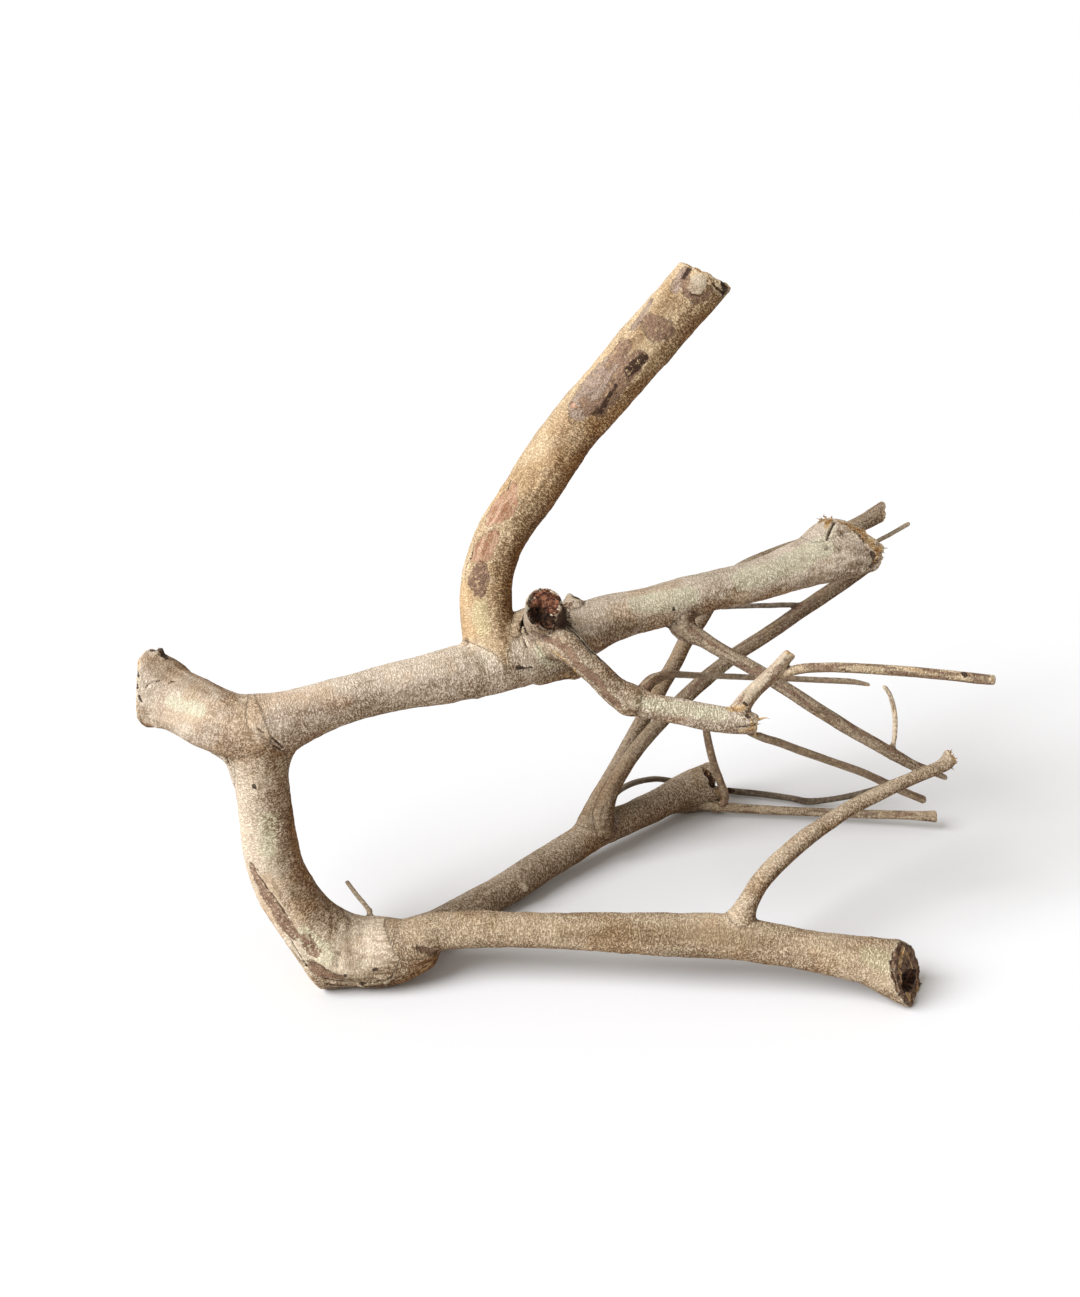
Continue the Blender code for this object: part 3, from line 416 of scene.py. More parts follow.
# Rows of short fibres: row of (across, down), number, way, how much the ways
# differ, least and most length, least and most width, mark, seed
FRINGES = [
    ([(817, 522), (823, 519), (832, 520)], 16, (-0.1, 0.95, 0.2), 0.65, 1.4, 3.4, 0.5, 1.1, "torn", 101),
    ([(838, 522), (846, 525), (854, 528), (861, 533), (867, 540), (873, 546)], 54, (0.4, 0.8, 0.35), 0.5, 1.0, 2.6, 0.5, 1.2, "torn", 102),
    ([(846, 529), (856, 533), (866, 543)], 22, (0.5, 0.6, 0.6), 0.45, 0.8, 1.8, 0.5, 1.0, "torn", 103),
    ([(872, 546), (877, 551), (876, 558), (874, 566)], 22, (0.9, 0.0, 0.3), 0.35, 1.2, 3.0, 0.6, 1.3, "torn", 104),
    ([(748, 714), (752, 722), (750, 731)], 12, (0.9, 0.0, 0.4), 0.3, 1.0, 2.6, 0.5, 1.0, "torn", 105),
    ([(948, 749), (953, 755), (955, 764)], 12, (0.7, 0.5, 0.5), 0.4, 1.0, 2.6, 0.5, 1.1, "torn", 106),
    ([(528, 606), (533, 594), (541, 589), (550, 593), (560, 602), (564, 612)], 26, (0.0, 0.7, 0.7), 0.5, 0.8, 2.0, 0.6, 1.3, "choc", 108),
    ([(562, 606), (568, 614), (570, 624)], 16, (0.6, 0.1, 0.8), 0.6, 1.0, 3.0, 0.8, 1.8, "choc", 109),
    ([(702, 769), (711, 777), (717, 788)], 10, (0.7, 0.5, 0.4), 0.4, 0.8, 2.0, 0.5, 1.1, "torn", 111),
]
# Swellings: (across, down, width, height in millimetres)
BUMPS = [
    (160.5, 652, 9, 3.0), (156, 655, 10, 1.4), (152, 724, 16, 1.4), (158, 727, 10, 1.2), (721, 284, 8, 0.8), (684, 266, 9, 0.7), (567, 613, 12, 2.4), (573, 622, 10, 2.2), (722, 291, 8, 0.7), (914, 998, 13, 1.6), (334, 982, 9, 1.0), (362, 986, 9, 0.7), (386, 982, 10, 0.9), (675, 632, 16, 0.5), (524, 887, 10, 2.4),
    (572, 592, 9, 1.2), (574, 405, 9, 0.8), (964, 674, 6, 0.7), (372, 910, 6, 0.7), (699, 283, 20, 0.7),
    (255, 785, 7, 0.5), (545, 656, 12, 0.5), (628, 708, 14, 0.8), (346, 978, 9, 0.7), (376, 982, 10, 0.6),
    (612, 400, 12, 0.5), (662, 365, 14, 0.7), (606, 430, 12, 0.6), (440, 700, 14, 0.4), (230, 720, 20, 0.5),
    (310, 705, 18, 0.4), (745, 570, 16, 0.5), (805, 575, 16, 0.5), (262, 830, 14, 0.4), (700, 945, 16, 0.4),
    (560, 935, 14, 0.4), (830, 960, 14, 0.5), (480, 925, 14, 0.4), (786, 655, 6, 0.6), (758, 875, 5, 0.4),
    (820, 828, 5, 0.4), (724, 600, 8, 0.4), (862, 575, 9, 0.5), (886, 514, 8, 0.6),
]

# Splinters: (across, down, depth), way as (right, up, towards the eye),
# length, width, thickness and bend in millimetres, seed
SPLINTERS = [
    ((824, 520, 60), (-0.95, 0.12, 0.1), 5.5, 1.5, 0.7, 0.6, 1),
    ((826, 519, 61), (-0.5, 0.85, 0.1), 3.6, 1.8, 0.9, 0.5, 2),
    ((831, 520, 61), (0.2, 0.95, 0.1), 3.2, 1.6, 0.9, -0.5, 3),
    ((828, 521, 60), (-0.8, 0.4, 0.4), 3.4, 1.4, 0.8, 0.4, 4),
    ((845, 525, 64), (0.35, 0.9, 0.2), 2.6, 1.4, 0.8, 0.3, 5),
    ((850, 527, 64), (0.55, 0.75, 0.2), 2.8, 1.2, 0.8, 0.3, 6),
    ((856, 530, 65), (0.6, 0.7, 0.3), 2.6, 1.4, 0.8, 0.3, 7),
    ((861, 534, 66), (0.7, 0.6, 0.3), 2.8, 1.2, 0.8, -0.3, 8),
    ((864, 531, 66), (0.5, -0.8, 0.5), 5.2, 1.5, 0.7, 0.4, 9),
    ((868, 541, 67), (0.8, 0.5, 0.3), 3.0, 1.4, 0.8, 0.4, 10),
    ((868, 547, 66), (0.99, -0.04, 0.2), 13.0, 4.2, 1.9, 0.4, 11),
    ((871, 551, 67), (0.97, -0.12, 0.2), 9.5, 3.0, 1.6, 0.3, 12),
    ((870, 557, 68), (0.98, 0.0, 0.1), 10.0, 1.6, 0.9, -0.3, 13),
    ((872, 563, 70), (0.9, -0.3, 0.1), 4.5, 2.4, 1.4, 0.2, 14),
    ((903, 953, -5), (0.15, 0.97, 0.3), 4.2, 1.3, 0.8, 0.3, 15),
    ((748, 719, -14), (0.98, 0.05, 0.2), 13.0, 2.4, 1.5, -0.3, 16),
    ((748, 722, -14), (0.97, -0.2, 0.3), 8.0, 1.8, 1.2, 0.3, 17),
    ((742, 729, -16), (0.96, 0.22, 0.2), 9.0, 3.0, 1.6, 0.3, 18),
    ((866, 685, 66), (0.96, -0.1, 0.1), 3.0, 1.0, 0.8, 0.2, 19),
    ((949, 755, 55), (0.35, 0.9, 0.2), 5.2, 2.0, 1.2, 0.4, 20),
    ((953, 761, 56), (0.7, 0.6, 0.3), 3.6, 1.8, 1.2, 0.3, 21),
    ((950, 766, 55), (0.6, -0.7, 0.2), 3.8, 1.8, 1.0, -0.3, 22),
    ((157, 653, -31), (0.3, 0.9, 0.2), 3.6, 3.0, 1.6, 0.4, 23),
    ((563, 606, -22), (0.5, 0.5, 0.6), 4.0, 2.2, 1.4, 0.4, 24),
    ((700, 770, 170), (0.2, 0.9, 0.3), 3.4, 2.4, 1.4, 0.4, 27),
]


# -------------------------------------------------------------------- noise
def _hash(ix, iy, iz, seed):
    h = (ix.astype(np.uint32) * np.uint32(374761393) + iy.astype(np.uint32) * np.uint32(668265263)
         + iz.astype(np.uint32) * np.uint32(2147483647) + np.uint32(seed) * np.uint32(1274126177))
    h = (h ^ (h >> np.uint32(13))) * np.uint32(1103515245)
    h = h ^ (h >> np.uint32(16))
    h = h * np.uint32(2654435761)
    return h ^ (h >> np.uint32(15))


def noise(p, size, seed=0):
    """Smooth gradient noise, about -1 to 1, with features about size across."""
    q = np.asarray(p, float) / size + 1000.0
    i = np.floor(q).astype(np.int64)
    f = q - i
    w = f * f * f * (f * (f * 6 - 15) + 10)
    out = np.zeros(len(q))
    for cx in (0, 1):
        wx = w[:, 0] if cx else 1 - w[:, 0]
        for cy in (0, 1):
            wy = w[:, 1] if cy else 1 - w[:, 1]
            for cz in (0, 1):
                wz = w[:, 2] if cz else 1 - w[:, 2]
                h = _hash(i[:, 0] + cx, i[:, 1] + cy, i[:, 2] + cz, seed)
                gx = (h & np.uint32(1023)).astype(float) / 511.5 - 1
                gy = ((h >> np.uint32(10)) & np.uint32(1023)).astype(float) / 511.5 - 1
                gz = ((h >> np.uint32(20)) & np.uint32(1023)).astype(float) / 511.5 - 1
                out += wx * wy * wz * (gx * (f[:, 0] - cx) + gy * (f[:, 1] - cy) + gz * (f[:, 2] - cz))
    return out * 1.6


def rough(p, size, octaves=3, seed=0, gain=0.5):
    total, amp = 0.0, 1.0
    for k in range(octaves):
        total = total + amp * noise(p, size / 2 ** k, seed + 17 * k)
        amp *= gain
    return total


def ramp(x, a, b):
    """Smooth step from 0 at a to 1 at b."""
    t = np.clip((x - a) / (b - a), 0, 1)
    return t * t * (3 - 2 * t)


# ------------------------------------------------------------------- fields
def sampled(stations, step):
    """A smooth path through the stations: points, radii and run lengths."""
    p, r = place(stations)
    q = np.c_[p, r]
    if len(q) == 2:
        n = max(2, int(np.linalg.norm(p[1] - p[0]) / step) + 1)
        t = np.linspace(0, 1, n)[:, None]
        q = q[0] * (1 - t) + q[1] * t
    else:
        e = np.vstack([2 * q[0] - q[1], q, 2 * q[-1] - q[-2]])
        rows = []
        for k in range(1, len(e) - 2):
            a, b, c, d = e[k - 1], e[k], e[k + 1], e[k + 2]
            n = max(1, int(round(np.linalg.norm(c[:3] - b[:3]) / step)))
            t = (np.arange(n) / n)[:, None]
            rows.append(0.5 * (2 * b + (c - a) * t + (2 * a - 5 * b + 4 * c - d) * t * t
                               + (3 * b - a - 3 * c + d) * t ** 3))
        q = np.vstack(rows + [q[-1:]])
    run = np.r_[0, np.cumsum(np.linalg.norm(np.diff(q[:, :3], axis=0), axis=1))]
    return q[:, :3], np.maximum(q[:, 3], 0.3), run


class Field:
    """Distances to the wood on a grid, negative inside."""

    def __init__(self, low, high, voxel):
        self.h = voxel
        self.low = np.floor(np.asarray(low, float) / voxel) * voxel
        self.shape = tuple((np.ceil((np.asarray(high, float) - self.low) / voxel)).astype(int) + 1)
        self.d = np.full(self.shape, 30.0, np.float32)
        self.owner = np.full(self.shape, -1, np.int8)

    def window(self, low, high):
        a = np.maximum(np.floor((low - self.low) / self.h).astype(int), 0)
        b = np.minimum(np.ceil((high - self.low) / self.h).astype(int) + 1, self.shape)
        return (a, b) if (b > a).all() else (None, None)

    def axes(self, a, b):
        return [(self.low[k] + self.h * np.arange(a[k], b[k])).astype(np.float32).reshape(
            [-1 if j == k else 1 for j in range(3)]) for k in range(3)]

    def limb(self, points, radii, blend, number, trims=(), reach=5.0):
        """Adds a tapered limb, blended into what is there. trims are planes."""
        a, b = self.window((points - radii[:, None]).min(0) - reach, (points + radii[:, None]).max(0) + reach)
        if a is None:
            return
        own = np.full(tuple(b - a), 30.0, np.float32)
        for k in range(0, len(points) - 1, 4):
            m = min(k + 4, len(points) - 1)
            part, size = points[k:m + 1], radii[k:m + 1, None]
            c, d = self.window((part - size).min(0) - reach, (part + size).max(0) + reach)
            if c is None:
                continue
            x, y, z = self.axes(c, d)
            view = own[tuple(slice(i, j) for i, j in zip(c - a, d - a))]
            for s in range(k, m):
                p, q, r0, r1 = points[s], points[s + 1], radii[s], radii[s + 1]
                v = (q - p).astype(np.float32)
                t = ((x - p[0]) * v[0] + (y - p[1]) * v[1] + (z - p[2]) * v[2]) / max(float(v @ v), 1e-6)
                t = np.clip(t, 0, 1)
                dist = np.sqrt((x - p[0] - t * v[0]) ** 2 + (y - p[1] - t * v[1]) ** 2 + (z - p[2] - t * v[2]) ** 2)
                np.minimum(view, dist - (r0 + t * (r1 - r0)), out=view)
        if len(trims):
            x, y, z = self.axes(a, b)
            for point, normal in trims:
                np.maximum(own, (x - point[0]) * normal[0] + (y - point[1]) * normal[1]
                           + (z - point[2]) * normal[2], out=own)
        box = tuple(slice(i, j) for i, j in zip(a, b))
        old = self.d[box]
        self.owner[box] = np.where(own < old, number, self.owner[box])
        near = np.maximum(blend - np.abs(own - old), 0)
        self.d[box] = np.minimum(own, old) - near * near / (4 * blend)

    def everywhere(self):
        x, y, z = self.axes(np.zeros(3, int), np.array(self.shape))
        return x, y, z

    def surface(self):
        """The zero surface as points and quads, facing out."""
        inside = self.d < 0
        n = np.zeros(tuple(np.array(self.shape) - 1), np.uint8)
        corners = [(i, j, k) for i in (0, 1) for j in (0, 1) for k in (0, 1)]
        for i, j, k in corners:
            n += inside[i:self.shape[0] - 1 + i, j:self.shape[1] - 1 + j, k:self.shape[2] - 1 + k]
        active = (n > 0) & (n < 8)
        ci, cj, ck = np.nonzero(active)
        number = np.full(active.shape, -1, np.int32)
        number[ci, cj, ck] = np.arange(len(ci))
        total, count = np.zeros((len(ci), 3)), np.zeros(len(ci))
        for a in corners:
            for axis in range(3):
                if a[axis]:
                    continue
                b = list(a)
                b[axis] = 1
                va = self.d[ci + a[0], cj + a[1], ck + a[2]]
                vb = self.d[ci + b[0], cj + b[1], ck + b[2]]
                cut = (va < 0) != (vb < 0)
                t = np.where(cut, va / np.where(cut, va - vb, 1), 0)
                spot = np.tile(np.array(a, float), (len(ci), 1))
                spot[:, axis] = t
                total += spot * cut[:, None]
                count += cut
        points = (np.stack([ci, cj, ck], 1) + total / count[:, None]) * self.h + self.low
        owner = self.owner[ci, cj, ck]
        quads = []
        for axis in range(3):
            u, v = (axis + 1) % 3, (axis + 2) % 3
            one, two = [slice(None)] * 3, [slice(None)] * 3
            one[axis], two[axis] = slice(0, -1), slice(1, None)
            for k in (u, v):
                one[k] = two[k] = slice(1, -1)
            low, high = inside[tuple(one)], inside[tuple(two)]
            at = np.stack(np.nonzero(low != high), 1)
            at[:, u] += 1
            at[:, v] += 1
            out = inside[at[:, 0], at[:, 1], at[:, 2]]
            cells = []
            for du, dv in ((-1, -1), (0, -1), (0, 0), (-1, 0)):
                c = at.copy()
                c[:, u] += du
                c[:, v] += dv
                cells.append(number[c[:, 0], c[:, 1], c[:, 2]])
            q = np.stack(cells, 1)
            quads.append(np.where(out[:, None], q, q[:, ::-1]))
        quads = np.vstack(quads)
        return points, quads[(quads >= 0).all(1)], owner


def relaxed(points, quads, rounds, share=0.5, hold=None):
    """Points drawn towards the middle of their neighbours."""
    a = np.concatenate([quads[:, k] for k in range(4)] * 2)
    b = np.concatenate([quads[:, (k + 1) % 4] for k in range(4)] + [quads[:, (k + 3) % 4] for k in range(4)])
    count = np.maximum(np.bincount(a, minlength=len(points)), 1)[:, None]
    for _ in range(rounds):
        mean = np.stack([np.bincount(a, points[b, k], len(points)) for k in range(3)], 1) / count
        step = (mean - points) * share
        points = points + (step if hold is None else step * hold[:, None])
    return points


def spread(values, quads, rounds):
    """A value on each point, evened out over the surface."""
    a = np.concatenate([quads[:, k] for k in range(4)] * 2)
    b = np.concatenate([quads[:, (k + 1) % 4] for k in range(4)] + [quads[:, (k + 3) % 4] for k in range(4)])
    count = np.maximum(np.bincount(a, minlength=len(values)), 1)
    for _ in range(rounds):
        values = 0.5 * values + 0.5 * np.bincount(a, values[b], len(values)) / count
    return values


def normals_of(points, quads):
    n = np.cross(points[quads[:, 2]] - points[quads[:, 0]], points[quads[:, 3]] - points[quads[:, 1]])
    total = np.zeros_like(points)
    for k in range(4):
        for c in range(3):
            total[:, c] += np.bincount(quads[:, k], n[:, c], len(points))
    return total / np.maximum(np.linalg.norm(total, axis=1), 1e-9)[:, None]

# ---------------------------------------------------------------- the field
VOXEL = 0.8
# Limb: (width of the blend where it grows out, group of the finished mesh)
GROWTH = {
    "stem_end": (3.0, 0), "stem": (3.0, 0), "left_web": (1.6, 0), "right_web": (1.6, 0),
    "heel": (2.0, 0), "heel_toe": (2.0, 0), "upper_limb": (3.0, 1), "upper_limb_crest": (1.6, 1),
    "prong": (3.0, 2), "prong_web": (1.6, 2), "ledge": (1.2, 1), "front_limb": (3.0, 3),
    "back_limb": (3.0, 4), "back_knuckle": (1.6, 4), "side_limb": (2.4, 3), "knee": (2.4, 5),
    "knee_stub": (2.4, 5), "finger": (1.8, 5), "finger_spur": (1.6, 5), "left_fork": (2.4, 4),
    "right_fork": (2.4, 4), "slant": (2.4, 4),
}
TWIG_BLEND = 1.4
END_ROUND = 0.12  # how far a blunt limb goes past its last station, in radii
BLUNT = ("upper_limb", "back_limb", "side_limb", "knee_stub", "finger", "finger_spur", "left_fork", "right_fork",
         "long_twig", "ground_twig", "elbow_shoot", "top_knot", "low_twig")
TWIG_GROUPS = {"long_twig": 5, "hook": 5, "low_twig": 5, "elbow_shoot": 0, "top_knot": 1}
GROUP_NAMES = ("stem_and_heel", "upper_limb", "prong", "front_limb", "back_limbs", "knee_limb")

low_mm, high_mm = (np.array(corner) * 1000 for corner in cad_bounds)
names = list(LIMBS) + list(TWIGS)
wood = Field(low_mm - 2.5, high_mm + 2.5, VOXEL)
paths = []
for name, stations in {**LIMBS, **TWIGS}.items():
    thick = name in LIMBS
    points, radii, run = sampled(stations, 3.0 if thick else 2.2)
    paths.append((points, radii, run))
    ends = []
    if name in BLUNT:
        way = (points[-1] - points[-2]) / np.linalg.norm(points[-1] - points[-2])
        ends = [(points[-1] + way * radii[-1] * END_ROUND, way)]
    wood.limb(points, radii, GROWTH[name][0] if thick else TWIG_BLEND, names.index(name), ends)


def frame_of(look):
    """Three unit vectors, the last along look."""
    w = np.asarray(look, float) / np.linalg.norm(look)
    u = np.cross((0.31, 0.12, 0.94), w)
    u /= np.linalg.norm(u)
    return u, np.cross(w, u), w


def face(point, look, jag=0.0, size=2.5, seed=0, tilt=0.0):
    """How far a place lies past a sawn or torn face."""
    u, v, w = frame_of(look)

    def past(at):
        rel = at - point
        side = np.stack([rel @ u, rel @ v, rel @ w * 0.12], 1)
        return rel @ w - (jag * rough(side, size, 3, seed, 0.6) if jag else 0.0)

    return past


def hollow(point, look, width, depth, seed=0, ragged=0.35, grain=2.6, narrow=1.0):
    """How deep a place lies inside an egg-shaped hollow with a ragged wall."""
    u, v, w = frame_of(look)
    size = np.array([width / 2, width / 2 * narrow, depth])

    def within(at):
        rel = at - point
        q = np.stack([rel @ u, rel @ v, rel @ w], 1)
        side = np.stack([rel @ u, rel @ v, rel @ w * 0.25], 1)
        return (1 - np.linalg.norm(q / size, axis=1)) * size.min() + ragged * rough(side, grain, 3, seed, 0.6)

    return within


RIM_ROUND = 1.3  # how rounded the rims of faces and hollows are
cuts = []


def cut(kind, station, function, reach):
    """Takes away the wood where function is positive, near a station."""
    point = place([station])[0][0]
    cuts.append((kind, point, reach, function))
    a, b = wood.window(point - reach, point + reach)
    x, y, z = wood.axes(a, b)
    view = wood.d[tuple(slice(i, j) for i, j in zip(a, b))]
    near = (x - point[0]) ** 2 + (y - point[1]) ** 2 + (z - point[2]) ** 2 < reach ** 2
    near &= view < 4.0
    at = np.stack([np.broadcast_to(k, view.shape)[near] for k in (x, y, z)], 1).astype(float)
    past, was = function(at), view[near].astype(float)
    meet = np.maximum(RIM_ROUND - np.abs(past - was), 0)
    view[near] = np.maximum(was, past) + meet * meet / (4 * RIM_ROUND)


def station_point(station):
    return place([station])[0][0]


def unit_at(depth):
    """Millimetres to a sketch unit at a depth."""
    return SKETCH_UNIT * (EYE_DISTANCE + depth) / EYE_DISTANCE


for kind, station, look, jag, size, reach, seed in FACES:
    cut(kind, station, face(station_point(station), direction(look), jag, size, seed), reach)
for kind, station, look, width, depth, ragged, grain, narrow, reach, seed in HOLLOWS:
    cut(kind, station, hollow(station_point(station), direction(look), width * unit_at(station[2]), depth,
                              seed, ragged, grain, narrow), reach)
x, y, z = wood.axes(np.zeros(3, int), np.array(wood.shape))
wood.d = np.maximum(wood.d, -z)

points, quads, owner = wood.surface()
# Specks that the ragged cuts leave loose are dropped: only the body stays.
label = np.arange(len(points))
for _ in range(400):
    least = label[quads].min(1)
    before = label.copy()
    for k in range(4):
        np.minimum.at(label, quads[:, k], least)
    label = label[label]
    if (label == before).all():
        break
body = label == np.bincount(label).argmax()
quads = quads[body[quads].all(1)]
used = np.zeros(len(points), bool)
used[quads] = True
renumber = np.cumsum(used) - 1
points, owner, quads = points[used], owner[used], renumber[quads]
del wood.d, wood.owner

for _ in range(2):
    points = relaxed(points, quads, 1, 0.62)
    points = relaxed(points, quads, 1, -0.58)
points = relaxed(points, quads, 1, 0.4)
normals = normals_of(points, quads)

# ------------------------------------------------- where each point belongs
radius = np.zeros(len(points))
grain = np.zeros((len(points), 3))
along = np.zeros(len(points))
for number, (path, radii, run) in enumerate(paths):
    mine = np.nonzero(owner == number)[0]
    if not len(mine):
        continue
    tangent = np.gradient(path, axis=0)
    tangent /= np.linalg.norm(tangent, axis=1)[:, None]
    side = np.zeros_like(path)
    e = np.cross(tangent[0], (0.2, 0.9, 0.4))
    for k, t in enumerate(tangent):
        e = e - t * (e @ t)
        e /= np.linalg.norm(e)
        side[k] = e
    other = np.cross(tangent, side)
    for start in range(0, len(mine), 20000):
        part = mine[start:start + 20000]
        p = points[part]
        best = np.full(len(part), 1e9)
        for k in range(len(path) - 1):
            v = path[k + 1] - path[k]
            t = np.clip((p - path[k]) @ v / (v @ v), 0, 1)
            rel = p - path[k] - t[:, None] * v
            dist = (rel ** 2).sum(1)
            near = dist < best
            best[near] = dist[near]
            t, rel, hit = t[near, None], rel[near], part[near]
            s = run[k] + t[:, 0] * (run[k + 1] - run[k])
            a = side[k] * (1 - t) + side[k + 1] * t
            b = other[k] * (1 - t) + other[k + 1] * t
            grain[hit] = np.stack([s, (rel * a).sum(1), (rel * b).sum(1)], 1)
            along[hit] = s
            radius[hit] = radii[k] + t[:, 0] * (radii[k + 1] - radii[k])
grain[:, 1] += owner * 37.0
radius = spread(radius, quads, 6)

# How each point lies in the sketch, and whether the eye sees it.
rel = points + (ORIGIN[0], ORIGIN[1], REST_LEVEL)
depth = rel[:, 1] * COS - rel[:, 2] * SIN
up = rel[:, 1] * SIN + rel[:, 2] * COS
unit = SKETCH_UNIT * (EYE_DISTANCE + depth) / EYE_DISTANCE
across, down = SKETCH_CENTRE[0] + rel[:, 0] / unit, SKETCH_CENTRE[1] - up / unit
eye_way = EYE - points
far = np.linalg.norm(eye_way, axis=1)
facing = (normals * eye_way).sum(1) / far
bin_of = (np.round(down / 3).astype(int) * 1000 + np.round(across / 3).astype(int))
nearest = np.full(bin_of.max() + 2000, 1e9)
np.minimum.at(nearest, bin_of, far)
around = np.min([nearest[bin_of + s] for s in (0, 1, -1, 1000, -1000)], axis=0)
seen = ramp(facing, -0.05, 0.2) * (far < around + 6.0)

# ----------------------------------------------------------- marks and shape
def hit(u, v, reach=3.0):
    """The point of the surface that the eye meets at a place of the sketch."""
    for grow in (1.0, 2.0, 4.0):
        close = np.nonzero((np.abs(across - u) < reach * grow) & (np.abs(down - v) < reach * grow))[0]
        if len(close):
            front = close[far[close] < far[close].min() + 3.0]
            return points[front[np.argmin((across[front] - u) ** 2 + (down[front] - v) ** 2)]]
    return EYE + ray(u, v) * EYE_DISTANCE


def from_rows(rows, margin=6.0):
    """Distance past the edge of a painted row, and which points it is for."""
    spots = [hit(u, v) for u, v, _ in rows]
    sizes = [w / 2 * SKETCH_UNIT for _, _, w in rows]
    low = np.min(spots, axis=0) - max(sizes) - margin
    high = np.max(spots, axis=0) + max(sizes) + margin
    near = np.nonzero(((points > low) & (points < high)).all(1))[0]
    p = points[near]
    best = np.full(len(near), 1e3)
    for k in range(len(spots) - 1):
        v = spots[k + 1] - spots[k]
        t = np.clip((p - spots[k]) @ v / max(v @ v, 1e-9), 0, 1)
        away = np.linalg.norm(p - spots[k] - t[:, None] * v, axis=1)
        best = np.minimum(best, away - (sizes[k] + t * (sizes[k + 1] - sizes[k])))
    return near, best


marks = {kind: np.full(len(points), 9.0) for kind in ("worn", "peach", "brown", "peeled", "scar", "choc", "tint", "pale", "grey", "dark", "torn", "hollow", "core", "bark")}
lift = np.zeros(len(points))
ragged = 0.9 * rough(points, 4.5, 3, 71, 0.6)
finer = 0.5 * rough(points, 2.2, 2, 72, 0.6)
for kind, rows in MARKS:
    near, away = from_rows(rows)
    wide = max(w for _, _, w in rows) * SKETCH_UNIT
    if kind in ("tint", "pale", "grey"):
        away = away * 0.7
    else:
        away = away + ragged[near] * min(1.0, wide / 6) + finer[near] * min(1.0, wide / 3)
    marks[kind][near] = np.minimum(marks[kind][near], away)
for rows, deep in CRACKS:
    near, away = from_rows(rows, 3.0)
    away = away + 0.35 * finer[near]
    lift[near] -= deep * ramp(-away, -0.5, 0.35)
    # Cracks also take the dark mark: painted shade in the grooves.
    marks["dark"][near] = np.minimum(marks["dark"][near], away + 0.25)
for rows, deep in FOLDS:
    near, away = from_rows(rows)
    lift[near] -= deep * ramp(-away, -2.2, 1.2)
for u, v, wide, high in BUMPS:
    near, away = from_rows([(u, v, 0.1), (u + 0.1, v, 0.1)], wide * SKETCH_UNIT)
    lift[near] += high * np.exp(-(away / (wide * SKETCH_UNIT * 0.42)) ** 2)

# The hidden sides carry worn, peeled and pale places of their own.
hidden = 1 - spread(seen, quads, 10)
thick = ramp(radius, 4.0, 9.0)
wide_noise = rough(points, 34.0, 3, 81)
marks["worn"] = np.minimum(marks["worn"], np.where(hidden * thick > 0.35, (0.52 - wide_noise) * 9 + ragged, 9.0))
other_noise = rough(points, 30.0, 3, 83)
marks["peach"] = np.minimum(marks["peach"], np.where(hidden * thick > 0.5, (0.72 - other_noise) * 9 + ragged, 9.0))
marks["tint"] = np.minimum(marks["tint"], 7 - 9 * ramp(rough(points, 42.0, 2, 85), 0.1, 0.9) * (0.35 + 0.65 * hidden))
marks["pale"] = np.minimum(marks["pale"], 7 - 9 * ramp(rough(points, 38.0, 2, 87), 0.1, 0.9) * (0.35 + 0.65 * hidden))

# Twigs are peeled to brown in strips.
thin = np.array([PEELED.get(n, 0.0 if n in LIMBS else 0.2) for n in names])[owner]
strip = rough(np.stack([grain[:, 0] * 0.16, grain[:, 1], grain[:, 2]], 1), 2.6, 2, 89)
marks["brown"] = np.minimum(marks["brown"], np.where(thin > 0, (0.75 - 1.7 * thin - strip) * 2.2, 9.0))

# Cut, torn and hollow wood.
for kind, point, reach, function in cuts:
    near = np.nonzero(((points - point) ** 2).sum(1) < reach ** 2)[0]
    past = function(points[near])
    away = -past - 0.75
    mark = {"sawn": "torn", "split": "torn"}.get(kind, kind)
    marks[mark][near] = np.minimum(marks[mark][near], away * 2)

# Bark: broad swells, wrinkles along the limb and fine grains.
free = ramp(np.minimum(np.minimum(marks["torn"], marks["hollow"]), marks["core"]), -0.5, 1.5)
size = np.clip(radius / 9.0, 0.22, 1.0)
streaks = np.stack([grain[:, 0] * 0.16, grain[:, 1], grain[:, 2]], 1)
rings = np.stack([grain[:, 0], grain[:, 1] * 0.4, grain[:, 2] * 0.4], 1)
smooth_bark = ramp(np.minimum(np.minimum(np.minimum(marks["worn"], marks["brown"]), marks["peach"]), marks["scar"]), -0.6, 0.6)
lift += size * (0.42 * noise(points, 26.0, 61) + 0.25 * noise(points, 9.0, 62)) * (0.4 + 0.6 * free)
lift += size * free * (0.22 * noise(streaks, 3.4, 63) + 0.10 * noise(streaks, 1.7, 64)) * (0.35 + 0.65 * smooth_bark)
lift += size * free * (0.09 * rough(points, 2.6, 2, 65) + 0.11 * noise(rings, 2.4, 68)) * (0.25 + 0.75 * smooth_bark)
lift -= 0.28 * ramp(-np.minimum(marks["worn"], marks["brown"]), -0.35, 0.35) * size + 0.32 * ramp(-marks["peach"], -0.35, 0.35)
torn_here = ramp(-marks["torn"], -0.5, 0.3)
lift -= 0.65 * ramp(-marks["peeled"], -0.3, 0.3)
lift += 0.35 * ramp(-marks["scar"], -0.6, 0.6)
lift += torn_here * 0.28 * rough(streaks, 2.0, 2, 66)
hollow_here = ramp(-np.minimum(marks["hollow"], marks["core"]), -0.5, 0.3)
lift += hollow_here * 0.5 * rough(points, 2.4, 2, 67)
points = points + normals * lift[:, None]
points = relaxed(points, quads, 1, 0.25)
points = np.clip(points, low_mm, high_mm)
normals = normals_of(points, quads)
